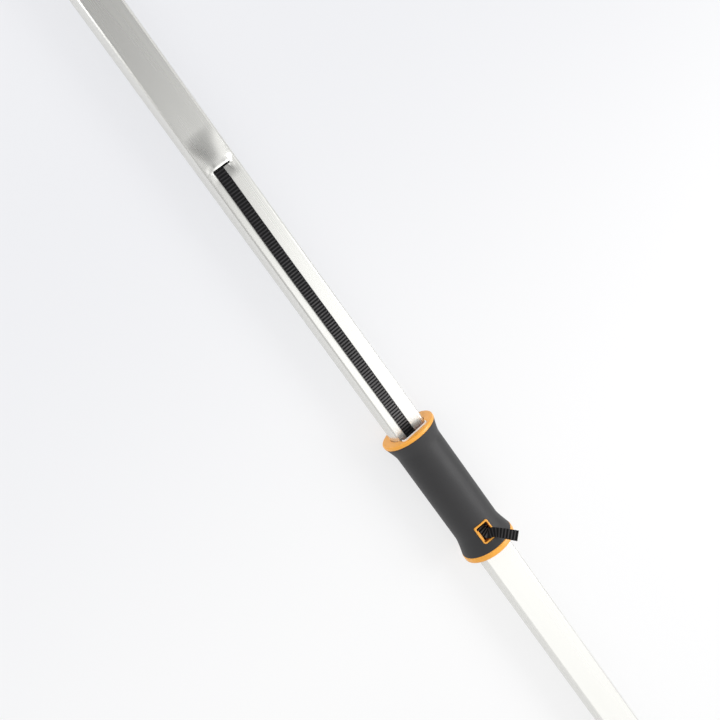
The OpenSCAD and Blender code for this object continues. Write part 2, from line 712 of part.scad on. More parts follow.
module hook_outline() {
  circle(hook_disc_r);
  translate(hook_screw) circle(boss_r + 2);
  polygon([[-hook_disc_r * 0.75, -hook_disc_r * 0.65], hook_screw - [boss_r + 1, 4],
    hook_screw - [0, boss_r + 2], [18, -24], [26, -8], [20, 4], [0, hook_disc_r]]);
  intersection() {
    difference() {
      translate(belly_c) circle(belly_r);
      translate(hollow_c) circle(hook_hollow_r);
    }
    polygon([[0, -far], [far, -far], [far, hook_tip_y], [far / 2, hook_tip_y], [far / 2, -4], [24, -2],
      [0, 8]]);
  }
}

module hook() color("slategray") translate([pivot_x, 0, 0]) difference() {
  translate([0, 0, hook_z]) linear_extrude(hook_t) hook_outline();
  drum([0, 0], pivot_r + pin_gap, -far, far);
  drum(hook_screw, screw_r + pin_gap, -far, far);
}

module pivot_bolt() color("gainsboro") {
  drum([pivot_x, 0], pivot_r, -outer_z - bolt_head_h - 1, outer_z + eps);
  bolt_head(pivot_x, pivot_r);
}

module pivot_nut() color("gainsboro") difference() {
  translate([pivot_x, 0, -outer_z - bolt_head_h]) cylinder(r = pivot_r * 1.7, h = bolt_head_h, $fn = 6);
  drum([pivot_x, 0], pivot_r + pin_gap, -far, far);
}

module pivot_washers() color("goldenrod") difference() {
  drum([pivot_x, 0], pivot_r * 1.8, -cavity_z, -cavity_z + washer_t);
  drum([pivot_x, 0], pivot_r + pin_gap, -far, far);
}

// Middle of the spring's wire after a share t of its length
spring_lo = hook_top + wire_r + 0.2;
spring_hi = cavity_z - wire_r - 0.2;
function wire(t) = let (a = 360 * coil_turns * t)
  [pivot_x + coil_r * cos(a), coil_r * sin(a), spring_lo + (spring_hi - spring_lo) * t];
wire_steps = 20 * coil_turns;
function turn_gap(i) = norm(wire((i + 20) / wire_steps) - wire(i / wire_steps)) - 2 * wire_r;
echo(spring_gap = min([for (i = [0:wire_steps - 20]) turn_gap(i)]));

module return_spring() color("gainsboro")
  skin([for (i = [0:wire_steps]) let (t = i / wire_steps, a = 360 * coil_turns * t)
    [for (k = [0:5]) wire(t) + wire_r * (cos(-60 * k) * [cos(a), sin(a), 0] + sin(-60 * k) * [0, 0, 1])]]);

// Gear teeth: half the angle of a tooth at radius r, and one tooth pointing along angle a
function roll(a) = tan(a) * 180 / PI - a;
function tooth_half(n, r) = let (p = gear_m * n / 2)
  90 / n - gear_play / p * 180 / PI + roll(gear_pa) - roll(acos(min(1, p * cos(gear_pa) / r)));
module tooth(n, a) {
  p = gear_m * n / 2;
  root = p - tooth_down;
  low = max(root, p * cos(gear_pa));
  flank = [for (i = [0:6]) low + (p + tooth_up - low) * i / 6];
  right = concat([[root - 0.3, tooth_half(n, low)]], [for (r = flank) [r, tooth_half(n, r)]]);
  polygon(concat([for (q = right) q[0] * [cos(a - q[1]), sin(a - q[1])]],
    [for (i = [len(right) - 1:-1:0]) right[i][0] * [cos(a + right[i][1]), sin(a + right[i][1])]]));
}

module spool() color("darkorange") translate([spool_x, 0, 0]) difference() {
  union() {
    translate([0, 0, pinion_lo]) linear_extrude(pinion_hi - pinion_lo + eps) {
      circle(pinion_r - tooth_down);
      for (k = [0:pinion_n - 1]) tooth(pinion_n, 360 * k / pinion_n);
    }
    drum([0, 0], drum_r, pinion_hi, spool_top);
    for (z = [pinion_hi, drum_hi]) drum([0, 0], flange_r, z, z + flange_t);
  }
  drum([0, 0], axle_r + pin_gap, -far, far);
}

module strap_wrap() color("dimgray") difference() {
  drum([spool_x, 0], drum_r + strap_t, head_strap_lo, head_strap_hi);
  drum([spool_x, 0], drum_r + pin_gap, -far, far);
}

// Blade in its closed direction: the part between the cutting edge and the spine
module blade_outline() intersection() {
  translate(edge_c) circle(edge_r);
  translate(spine_c) circle(spine_r);
  translate([-4, -far]) square([2 * far, 2 * far]);
}

// What is ground off below the cutting edge, on the side away from the hook
module edge_bevel() intersection() {
  translate(edge_c) rotate_extrude($fn = 180)
    polygon([[edge_r - blade_grind, -eps], [edge_r + 2, -eps], [edge_r + 2, blade_t - blade_land],
      [edge_r, blade_t - blade_land]]);
  translate([blade_disc_r + blade_grind, -far, -1]) cube(2 * far);
}

module blade() color("slategray") translate([pivot_x, 0, blade_z]) difference() {
  a0 = 180 + tooth_step * sector_first;
  a1 = 180 + tooth_step * (sector_last + 1);
  linear_extrude(blade_t) {
    circle(blade_disc_r);
    rotate(blade_open) blade_outline();
    polygon(concat([[0, 0]], arc([0, 0], sector_r - tooth_down, a0, a1, 28)));
    for (k = [sector_first:sector_last]) tooth(sector_n, 180 + tooth_step * (k + 0.5));
  }
  drum([0, 0], pivot_r + pin_gap, -far, far);
  rotate((a0 + a1) / 2) drum([sector_r * 0.64, 0], sector_r * 0.16, -far, far);
  rotate(blade_open) edge_bevel();
}

// Star knob with round lobes, on its threaded insert
module tilt_knob() color("darkorange") translate([tilt_x, 0, knob_low]) difference() {
  linear_extrude(knob_top - knob_low) polygon([for (a = [0:3:357])
    (tilt_knob_r + tilt_lobe_h * cos(tilt_knob_lobes * a)) * [cos(a), sin(a)]]);
  drum([0, 0], tilt_bolt_r + insert_wall + pin_gap, -far, far);
}

module knob_insert() color("goldenrod") difference() {
  drum([tilt_x, 0], tilt_bolt_r + insert_wall, knob_low + insert_wall, knob_top);
  drum([tilt_x, 0], tilt_bolt_r + pin_gap, -far, far);
}

pole_tube();
strap_inner();
end_knob();
hang_bush();
knob_rivet();
neck();
neck_rivets();
grip_core();
grip_sleeve();
upper_bush();
lower_bush();
lock_bar();
strap_run();
strap_tail();
upper_cover();
lower_cover();
cover_screws();
tilt_bolt();
guide_bush();
strap_lead();
spool_axle();
hook();
pivot_bolt();
pivot_nut();
pivot_washers();
return_spring();
spool();
strap_wrap();
blade();
tilt_knob();
knob_insert();
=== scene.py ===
import json
import math

import bmesh
import bpy
import numpy as np
from mathutils import Matrix, Vector


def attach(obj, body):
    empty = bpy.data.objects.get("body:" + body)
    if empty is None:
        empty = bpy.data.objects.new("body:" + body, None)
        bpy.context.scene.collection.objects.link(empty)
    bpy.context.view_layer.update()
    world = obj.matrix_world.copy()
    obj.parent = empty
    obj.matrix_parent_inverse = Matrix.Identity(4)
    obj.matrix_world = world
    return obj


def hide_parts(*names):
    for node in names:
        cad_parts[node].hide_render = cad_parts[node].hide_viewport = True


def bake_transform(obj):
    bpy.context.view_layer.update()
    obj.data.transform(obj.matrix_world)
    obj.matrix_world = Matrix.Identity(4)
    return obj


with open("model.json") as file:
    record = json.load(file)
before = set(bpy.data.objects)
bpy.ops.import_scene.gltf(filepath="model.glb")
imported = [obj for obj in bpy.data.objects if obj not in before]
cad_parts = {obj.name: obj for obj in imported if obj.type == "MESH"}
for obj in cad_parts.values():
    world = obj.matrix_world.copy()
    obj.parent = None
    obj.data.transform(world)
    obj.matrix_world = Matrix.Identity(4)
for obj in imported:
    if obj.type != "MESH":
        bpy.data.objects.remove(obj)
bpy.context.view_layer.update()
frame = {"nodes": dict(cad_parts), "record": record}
nodes = frame["nodes"]
scene = bpy.context.scene
scene.view_settings.view_transform = "Standard"
mm = 0.001
crispAngle = 38.0   # edges that turn by more than this many degrees stay sharp
weld = {"piece": 1e-7, "baked": 1e-6, "pole": 2e-6, "cad": 2e-6}   # points this near are joined, in metres
bodyOf = {name: body for body, names in frame["record"]["behaviour"]["bodies"].items() for name in names}
slotOf = {part["node"]: part["material_slot"] for part in frame["record"]["subparts"]}


# angles of n points round a full turn
def fullTurn(n):
    return [2 * math.pi * k / n for k in range(n)]


# n angles of a quarter turn, both ends included
def quarter(n):
    return np.linspace(0, math.pi / 2, n)


# 0 below 0, 1 above 1, smooth between
def easy(t):
    t = min(max(t, 0.0), 1.0)
    return t * t * (3 - 2 * t)


# a hexagon's reach in the direction a, as a share of the reach to its corners
def hexShare(a):
    return math.cos(math.pi / 6) / math.cos(a % (math.pi / 3) - math.pi / 6)


# shader maths: a wire is a socket, and Python's operators add Math nodes to its tree
class Wire:
    def __init__(self, tree, socket=None):
        self.tree = tree
        self.socket = socket

    def node(self, kind, settings=None, sockets=None, out=0):
        made = self.tree.nodes.new(kind)
        for name, value in (settings or {}).items():
            setattr(made, name, value)
        for name, value in (sockets or {}).items():
            if isinstance(value, Wire):
                self.tree.links.new(value.socket, made.inputs[name])
            else:
                made.inputs[name].default_value = value
        return Wire(self.tree, made.outputs[out] if made.outputs else None)

    def other(self, out):
        return Wire(self.tree, self.socket.node.outputs[out])

    def math(self, operation, a, b=0.0, clamp=False):
        return self.node("ShaderNodeMath", {"operation": operation, "use_clamp": clamp}, {0: a, 1: b})

    def __add__(self, other):
        return self.math("ADD", self, other)

    def __radd__(self, other):
        return self.math("ADD", other, self)

    def __sub__(self, other):
        return self.math("SUBTRACT", self, other)

    def __rsub__(self, other):
        return self.math("SUBTRACT", other, self)

    def __mul__(self, other):
        return self.math("MULTIPLY", self, other)

    def __rmul__(self, other):
        return self.math("MULTIPLY", other, self)

    # kept between 0 and 1
    def held(self):
        return self.math("ADD", self, 0.0, True)

    # 0 below low, 1 above high, smooth between
    def rise(self, low, high):
        return self.node("ShaderNodeMapRange", {"interpolation_type": "SMOOTHSTEP"},
                         {"Value": self, "From Min": low, "From Max": high})

    # colours: this wire is the share of b
    def tint(self, a, b):
        return self.node("ShaderNodeMix", {"data_type": "RGBA"}, {0: self, 6: a, 7: b}, 2)

    def dot(self, a, b):
        return self.node("ShaderNodeVectorMath", {"operation": "DOT_PRODUCT"}, {0: a, 1: b}, "Value")

    # a noise about its middle
    def swing(self, amount):
        return (self - 0.5) * amount


def rgb(r, g, b):
    return (r, g, b, 1.0)


def newMaterial(name):
    made = bpy.data.materials.new(name)
    made.use_nodes = True
    made.node_tree.nodes.clear()
    return made, Wire(made.node_tree)


def finishMaterial(made, w, **sockets):
    names = {"colour": "Base Color", "rough": "Roughness", "metal": "Metallic", "normal": "Normal",
             "sheen": "Sheen Weight", "sheenRough": "Sheen Roughness", "spec": "Specular IOR Level"}
    shader = w.node("ShaderNodeBsdfPrincipled", None, {names[k]: v for k, v in sockets.items()})
    w.node("ShaderNodeOutputMaterial", None, {"Surface": shader})
    return made


def place(w, kind="Object"):
    return w.node("ShaderNodeTexCoord", None, None, kind)


# noise of one scale, or stretched by a scale for each axis
def noise(w, where, scale, detail, roughness=0.55):
    if isinstance(scale, tuple):
        where, scale = w.node("ShaderNodeMapping", None, {"Vector": where, "Scale": scale}), 1.0
    return w.node("ShaderNodeTexNoise", None,
                  {"Vector": where, "Scale": scale, "Detail": detail, "Roughness": roughness})


# edges look rounded at render time, and the same rounding says where an edge is painted paler: partly wear,
# partly painted highlight
def roundedEdge(w, radius):
    return w.node("ShaderNodeBevel", {"samples": 6}, {"Radius": radius})


def edgeWearAndHighlight(w, soft):
    return 1 - w.dot(soft, w.node("ShaderNodeNewGeometry", None, None, "Normal"))


# a share of a, and b for the rest
def mixed(a, b, share):
    return a * share + b * (1 - share)


def bump(w, height, strength, distance, normal=None):
    sockets = {"Height": height, "Strength": strength, "Distance": distance}
    if normal is not None:
        sockets["Normal"] = normal
    return w.node("ShaderNodeBump", None, sockets)


# camera: the place and turn from which the pole, slot and grip line up with the photograph
view = {"at": (0.89069, 0.23014, 0.82500), "right": (-0.56413, -0.73840, 0.36981),
        "up": (0.78180, -0.62180, -0.04895), "back": (0.26601, 0.26144, 0.92784), "lens": 49.293,
        "sensor": 36.0, "clip": (0.01, 50.0)}
camera = bpy.data.objects.new("camera", bpy.data.cameras.new("camera"))
scene.collection.objects.link(camera)
camera.data.lens = view["lens"]
camera.data.sensor_width = view["sensor"]
camera.data.clip_start, camera.data.clip_end = view["clip"]
axes = Matrix([view["right"], view["up"], view["back"]]).transposed()
camera.matrix_world = Matrix.Translation(view["at"]) @ axes.to_4x4()
scene.camera = camera
print("camera set")


# floor, world and lamps
studio = {"floor": -0.0277, "half": 40.0, "paint": (0.86, 0.86, 0.87), "white": (1.0, 1.0, 1.0), "shadow": 0.27,
          "away": (0.850, 0.858, 0.890), "fade": (0.40, 0.95), "reflectShade": 0.38, "beside": (1.0, 3.5), "world": 0.56,
          "panels": {"overhead": {"aim": (0.27, -0.06, 0.95), "reach": 27.0, "core": 7.0, "dark": 1.0},
                     "right": {"aim": (-0.22, -0.91, 0.31), "reach": 30.0, "core": 14.0, "dark": 0.36},
                     "left": {"aim": (0.00, 0.64, 0.77), "reach": 28.0, "core": 8.0, "dark": 0.60}},
          "lamps": {
              "softbox": {"at": (-0.20, -0.33, 1.12), "aim": (0.45, 0.0, 0.0), "size": 1.9, "power": 2.75},
              "key": {"at": (0.15, -1.00, 0.95), "aim": (0.60, 0.0, 0.0), "size": 0.9, "power": 10.3},
              "fill": {"at": (1.70, 0.75, 0.90), "aim": (0.80, 0.0, 0.0), "size": 1.2, "power": 8.4}}}


def buildFloor(cfg):
    h, z = cfg["half"], cfg["floor"]
    mesh = bpy.data.meshes.new("floor")
    mesh.from_pydata([(-h, -h, z), (h, -h, z), (h, h, z), (-h, h, z)], [], [(0, 1, 2, 3)])
    floor = bpy.data.objects.new("floor", mesh)
    scene.collection.objects.link(floor)
    made, w = newMaterial("paleFloor")
    ray = w.node("ShaderNodeLightPath")
    spot = w.node("ShaderNodeSeparateXYZ", None, {"Vector": place(w)})
    far = spot.rise(*cfg["fade"]) * (1 - w.math("ABSOLUTE", spot.other("Y")).rise(*cfg["beside"]))
    # painted shade: reflections show the floor duller towards the head
    shine = ray.other("Is Glossy Ray") * (1 - far * cfg["reflectShade"])
    seen = (ray + shine + ray.other("Is Transmission Ray")).held()
    paint = w.node("ShaderNodeBsdfDiffuse", None, {"Color": rgb(*cfg["paint"])})
    # painted shade: the floor's glow turns greyer towards the head
    glow = w.node("ShaderNodeEmission", None, {"Color": far.tint(rgb(*cfg["white"]), rgb(*cfg["away"]))})
    both = w.node("ShaderNodeMixShader", None, {0: seen * (1 - cfg["shadow"]), 1: paint, 2: glow})
    w.node("ShaderNodeOutputMaterial", None, {"Surface": both})
    floor.data.materials.append(made)


def buildWorld(cfg):
    world = bpy.data.worlds.new("studio")
    scene.world = world
    world.use_nodes = True
    world.node_tree.nodes.clear()
    w = Wire(world.node_tree)
    ray = w.node("ShaderNodeLightPath")
    glossy = ray.other("Is Glossy Ray")
    seen = (ray + glossy + ray.other("Is Transmission Ray")).held()
    # darker panels, which only reflections show
    lit = None
    for panel in cfg["panels"].values():
        near = w.dot(place(w, "Generated"), Vector(panel["aim"]).normalized())
        edge = [math.cos(math.radians(panel[k])) for k in ("reach", "core")]
        passed = 1 - near.rise(*edge) * panel["dark"]
        lit = passed if lit is None else lit * passed
    dim = w.node("ShaderNodeBackground", None, {"Color": rgb(1, 1, 1), "Strength": cfg["world"]})
    bright = w.node("ShaderNodeBackground", None, {"Color": rgb(*cfg["white"])})
    black = w.node("ShaderNodeBackground", None, {"Color": rgb(0, 0, 0)})
    shown = w.node("ShaderNodeMixShader", None, {0: (1 - lit) * glossy, 1: bright, 2: black})
    both = w.node("ShaderNodeMixShader", None, {0: seen, 1: dim, 2: shown})
    w.node("ShaderNodeOutputWorld", None, {"Surface": both})


def buildLamps(lamps):
    for name, lamp in lamps.items():
        data = bpy.data.lights.new(name, "AREA")
        data.shape = "DISK"
        data.size = lamp["size"]
        data.energy = lamp["power"]
        made = bpy.data.objects.new(name, data)
        made.location = lamp["at"]
        aim = Vector(lamp["aim"]) - Vector(lamp["at"])
        made.rotation_mode = "QUATERNION"
        made.rotation_quaternion = aim.to_track_quat("-Z", "Y")
        scene.collection.objects.link(made)


buildFloor(studio)
buildWorld(studio)
buildLamps(studio["lamps"])
print("floor, world and lamps set")


# finishes
def drawnAluminium(cfg):
    made, w = newMaterial("drawnAluminium")
    where = place(w)
    drawn = noise(w, where, cfg["lines"], 4.0, 0.6)
    broad = noise(w, where, cfg["clouds"], 2.0)
    shade = mixed(drawn, broad, cfg["lineShare"]).tint(rgb(*cfg["dark"]), rgb(*cfg["light"]))
    rough = cfg["rough"] + drawn.swing(cfg["roughLines"]) + broad.swing(cfg["roughClouds"])
    return finishMaterial(made, w, colour=shade, rough=rough, metal=cfg["metal"],
                          normal=bump(w, drawn, *cfg["bump"]))


def wovenWebbing(cfg):
    made, w = newMaterial("wovenWebbing")
    where = place(w, "UV")   # u runs across and v along, both in metres
    across = w.node("ShaderNodeSeparateXYZ", None, {"Vector": where})
    along = across.other("Y")

    def between(start, end):
        return along.rise(*start) * (1 - along.rise(*end))

    rib = w.math("ABSOLUTE", w.math("SINE", along * (math.pi / cfg["pitch"])))
    wander = w.math("SINE", along * cfg["wander"])
    thread = 0.5 + 0.5 * w.math("SINE", across * (2 * math.pi / cfg["thread"]) + wander)
    fuzz = noise(w, where, cfg["fuzz"], 3.0)
    mottle = noise(w, where, cfg["mottle"], 2.0)
    # painted light: paler from the slot towards the grip, where more light falls on the band, and dark again
    # just before the mouth, in its shade; paler in the window and at the tail's end too
    paintedLight = between(cfg["litFrom"], cfg["litTo"]) + along.rise(*cfg["tail"]) * cfg["tailShare"]
    paintedLight = paintedLight + between(cfg["patchFrom"], cfg["patchTo"]) * cfg["patchShare"]
    # painted highlight on the rib crests, and painted shade in the valleys between them
    crestHighlight = rib.rise(cfg["crestHighlight"] + (1 - paintedLight) * cfg["crestHighlight"], 1.0)
    tone = crestHighlight * (cfg["toneBase"] + thread * cfg["toneThread"] + fuzz * cfg["toneFuzz"])
    tone = (tone * (cfg["mottleLeast"] + mottle * cfg["mottleMore"])).held()
    crown = paintedLight.tint(rgb(*cfg["light"]), rgb(*cfg["pale"]))
    rough = cfg["rough"] - crestHighlight * cfg["roughCrest"] + fuzz.swing(cfg["roughFuzz"])
    return finishMaterial(made, w, colour=tone.tint(rgb(*cfg["dark"]), crown), rough=rough, sheen=cfg["sheen"],
                          sheenRough=cfg["sheenRough"], spec=cfg["spec"],
                          normal=bump(w, mixed(thread, fuzz, cfg["threadShare"]), *cfg["bump"]))


def softRubber(cfg):
    made, w = newMaterial("softRubber")
    where = place(w)
    grain = noise(w, where, cfg["grain"], 2.0)
    pores = w.node("ShaderNodeTexVoronoi", {"feature": "F1"}, {"Vector": where, "Scale": cfg["pores"]})
    smudge = noise(w, where, cfg["smudge"], 4.0)
    soft = roundedEdge(w, cfg["edge"])
    shade = mixed(smudge, grain, cfg["smudgeShare"]).tint(rgb(*cfg["dark"]), rgb(*cfg["light"]))
    rough = cfg["rough"] + smudge.swing(cfg["roughSmudge"]) + grain.swing(cfg["roughGrain"])
    return finishMaterial(made, w, colour=shade, rough=rough, spec=cfg["spec"],
                          normal=bump(w, mixed(grain, pores, cfg["grainShare"]), *cfg["bump"], soft))


# shared by every moulded plastic and by every worked metal
moulded = {"flow": (25, 40, 40), "wearAndHighlight": 1.6, "edgeLeast": 0.4, "roughFlow": 0.16, "roughGrain": 0.12, "spec": 0.5,
           "bumpDeep": 0.0002}
worked = {"cloud": 140.0, "lineShare": 0.5, "wearAndHighlight": 2.2, "edgeLeast": 0.3, "roughLines": 0.18, "roughCloud": 0.12,
          "bump": (0.10, 0.0002)}


def mouldedPlastic(name, cfg):
    made, w = newMaterial(name)
    where = place(w)
    grain = noise(w, where, cfg["grain"], 2.0)
    flow = noise(w, where, moulded["flow"], 4.0)
    soft = roundedEdge(w, cfg["edge"])
    # paler edges: partly wear, partly painted highlight along the rounded edges
    wearAndHighlight = (edgeWearAndHighlight(w, soft) * moulded["wearAndHighlight"] * (moulded["edgeLeast"] + flow)).held()
    shade = wearAndHighlight.tint(flow.tint(rgb(*cfg["dark"]), rgb(*cfg["light"])), rgb(*cfg["wornAndLit"]))
    rough = cfg["rough"] + flow.swing(moulded["roughFlow"]) + grain.swing(moulded["roughGrain"])
    return finishMaterial(made, w, colour=shade, rough=rough, spec=moulded["spec"],
                          normal=bump(w, grain, cfg["bump"], moulded["bumpDeep"], soft))


def workedMetal(name, cfg):
    made, w = newMaterial(name)
    where = place(w)
    lines = noise(w, where, cfg["lines"], 3.0, 0.6)
    cloud = noise(w, where, worked["cloud"], 4.0)
    soft = roundedEdge(w, cfg["edge"])
    # paler edges: partly wear, partly painted highlight along the rounded edges
    wearAndHighlight = (edgeWearAndHighlight(w, soft) * worked["wearAndHighlight"] * (worked["edgeLeast"] + cloud)).held()
    plain = mixed(lines, cloud, worked["lineShare"]).tint(rgb(*cfg["dark"]), rgb(*cfg["light"]))
    rough = cfg["rough"] + lines.swing(worked["roughLines"]) + cloud.swing(worked["roughCloud"])
    return finishMaterial(made, w, colour=wearAndHighlight.tint(plain, rgb(*cfg["wornAndLit"])), rough=rough, metal=1.0,
                          normal=bump(w, lines, *worked["bump"], soft))


finish = {
    "pole_aluminium": drawnAluminium({
        "dark": (0.735, 0.733, 0.705), "light": (0.815, 0.812, 0.780), "rough": 0.27, "metal": 0.76,
        "lines": (6, 1400, 1400), "clouds": (3, 60, 60), "lineShare": 0.08, "roughLines": 0.012,
        "roughClouds": 0.04, "bump": (0.0015, 0.0003)}),
    "webbing": wovenWebbing({
        # dark is the painted shade in the rib valleys; light and pale are the crests' painted highlight, pale
        # where more light is painted
        "dark": (0.004, 0.004, 0.0045), "light": (0.034, 0.033, 0.035), "pale": (0.200, 0.193, 0.195),
        # where the painted light rises and falls along the band, in metres
        "litFrom": (0.06, 0.38), "litTo": (0.322, 0.335), "tail": (0.468, 0.482), "tailShare": 0.2,
        "patchFrom": (0.446, 0.452), "patchTo": (0.463, 0.468), "patchShare": 0.40, "crestHighlight": 0.35,
        "pitch": 0.00293, "thread": 0.0009, "wander": 1900.0, "fuzz": (3000, 1100, 1), "mottle": (140, 50, 1),
        "toneBase": 0.45, "toneThread": 0.25, "toneFuzz": 0.3, "mottleLeast": 0.6, "mottleMore": 0.8,
        "threadShare": 0.6, "rough": 0.75, "roughCrest": 0.2, "roughFuzz": 0.2, "sheen": 0.02,
        "sheenRough": 0.4, "spec": 0.16, "bump": (0.4, 0.00022)}),
    "soft_grip": softRubber({
        "dark": (0.024, 0.024, 0.0255), "light": (0.039, 0.038, 0.039), "rough": 0.52, "spec": 0.36,
        "grain": 2600.0, "pores": 1500.0, "smudge": (18, 30, 30), "smudgeShare": 0.75, "grainShare": 0.5,
        "roughSmudge": 0.14, "roughGrain": 0.1, "edge": 0.0005, "bump": (0.25, 0.0002)}),
    "orange_plastic": mouldedPlastic("orangePlastic", {
        "dark": (0.96, 0.405, 0.045), "light": (0.985, 0.460, 0.062), "wornAndLit": (0.99, 0.64, 0.24),
        "rough": 0.34, "grain": 2200.0, "bump": 0.10, "edge": 0.0005}),
    # painted shade: a darker copy of the orange for the core's inside and the window's well, which get little
    # light
    "shadedOrange": mouldedPlastic("shadedOrange", {
        "dark": (0.36, 0.075, 0.010), "light": (0.46, 0.105, 0.014), "wornAndLit": (0.60, 0.20, 0.04),
        "rough": 0.45, "grain": 2200.0, "bump": 0.10, "edge": 0.0005}),
    "dark_plastic": mouldedPlastic("darkPlastic", {
        "dark": (0.034, 0.034, 0.036), "light": (0.052, 0.052, 0.054), "wornAndLit": (0.11, 0.11, 0.11),
        "rough": 0.50, "grain": 1800.0, "bump": 0.30, "edge": 0.0008}),
    "bush_plastic": mouldedPlastic("bushPlastic", {
        "dark": (0.84, 0.83, 0.80), "light": (0.89, 0.88, 0.85), "wornAndLit": (0.92, 0.91, 0.89),
        "rough": 0.42, "grain": 1500.0, "bump": 0.08, "edge": 0.0003}),
    "bright_steel": workedMetal("brightSteel", {
        "dark": (0.50, 0.50, 0.51), "light": (0.66, 0.66, 0.67), "wornAndLit": (0.80, 0.80, 0.80),
        "rough": 0.32, "lines": (500, 500, 500), "edge": 0.0004}),
    "blade_steel": workedMetal("bladeSteel", {
        "dark": (0.20, 0.205, 0.215), "light": (0.32, 0.325, 0.335), "wornAndLit": (0.70, 0.70, 0.70),
        "rough": 0.38, "lines": (60, 900, 900), "edge": 0.0005}),
    "brass": workedMetal("turnedBrass", {
        "dark": (0.62, 0.43, 0.17), "light": (0.76, 0.56, 0.26), "wornAndLit": (0.88, 0.70, 0.38),
        "rough": 0.30, "lines": (90, 90, 1600), "edge": 0.0003}),
}
for nodeName, slotName in slotOf.items():
    nodes[nodeName].data.materials.clear()
    nodes[nodeName].data.materials.append(finish[slotName])
print("finishes on", len(slotOf), "nodes")


def newPiece(name, verts, faces, slotName, uv=None):
    mesh = bpy.data.meshes.new(name)
    mesh.from_pydata([tuple(v) for v in verts], [], faces)
    if uv is not None:
        layer = mesh.uv_layers.new(name="UVMap")
        for loop in mesh.loops:
            layer.data[loop.index].uv = uv[loop.vertex_index]
    mesh.validate()
    mesh.shade_smooth()
    mesh.materials.append(finish[slotName])
    made = bpy.data.objects.new(name, mesh)
    scene.collection.objects.link(made)
    return made


# joins points that are near and turns the faces outwards
def joinMesh(mesh, near):
    shell = bmesh.new()
    shell.from_mesh(mesh)
    bmesh.ops.remove_doubles(shell, verts=shell.verts, dist=near)
    bmesh.ops.recalc_face_normals(shell, faces=shell.faces)
    shell.to_mesh(mesh)
    shell.free()


def crispPiece(name, verts, faces, slotName, angle=crispAngle):
    made = newPiece(name, verts, faces, slotName)
    joinMesh(made.data, weld["piece"])
    made.data.shade_smooth()
    made.data.set_sharp_from_angle(angle=math.radians(angle))
    return made


# takes a piece's modifiers into its mesh, with sharp edges where it turns by more than the angle
def bakeShape(made, angle=crispAngle):
    bpy.context.view_layer.update()
    shape = bpy.data.meshes.new_from_object(made.evaluated_get(bpy.context.evaluated_depsgraph_get()))
    made.modifiers.clear()
    shell = bmesh.new()
    shell.from_mesh(shape)
    bmesh.ops.remove_doubles(shell, verts=shell.verts, dist=weld["baked"])
    bmesh.ops.dissolve_degenerate(shell, edges=shell.edges, dist=weld["baked"])
    shell.to_mesh(shape)
    shell.free()
    made.data = shape
    shape.shade_smooth()
    shape.set_sharp_from_angle(angle=math.radians(angle))


# cuts the cutter's shape out of the pieces, and removes it
def cutOut(cutter, *pieces):
    for made in pieces:
        cut = made.modifiers.new("cut", "BOOLEAN")
        cut.operation = "DIFFERENCE"
        cut.solver = "EXACT"
        cut.object = cutter
        bakeShape(made)
    bpy.data.objects.remove(cutter)


# faces of a tube of rings, with or without its two end caps
def tubeFaces(rings, around, caps=True):
    faces = [(i * around + j, i * around + (j + 1) % around, (i + 1) * around + (j + 1) % around,
              (i + 1) * around + j) for i in range(rings - 1) for j in range(around)]
    if caps:
        faces.append(tuple(range(around - 1, -1, -1)))
        faces.append(tuple(range((rings - 1) * around, rings * around)))
    return faces


# a closed band of equal loops: each loop's points join the next loop's, and the last joins the first
def bandPiece(name, loops, slotName, angle=crispAngle):
    count, n = len(loops), len(loops[0])
    faces = [(i * n + j, i * n + (j + 1) % n, ((i + 1) % count) * n + (j + 1) % n, ((i + 1) % count) * n + j)
             for i in range(count) for j in range(n)]
    return crispPiece(name, [v for loop in loops for v in loop], faces, slotName, angle)


# rows of a turned shape at x, y: the reach in each direction of the turn, and the height
def turnedPoints(x, y, rows, turn):
    return [((x + r * math.cos(a)) * mm, (y + r * math.sin(a)) * mm, z * mm)
            for reach, z in rows for r, a in zip(reach, turn)]


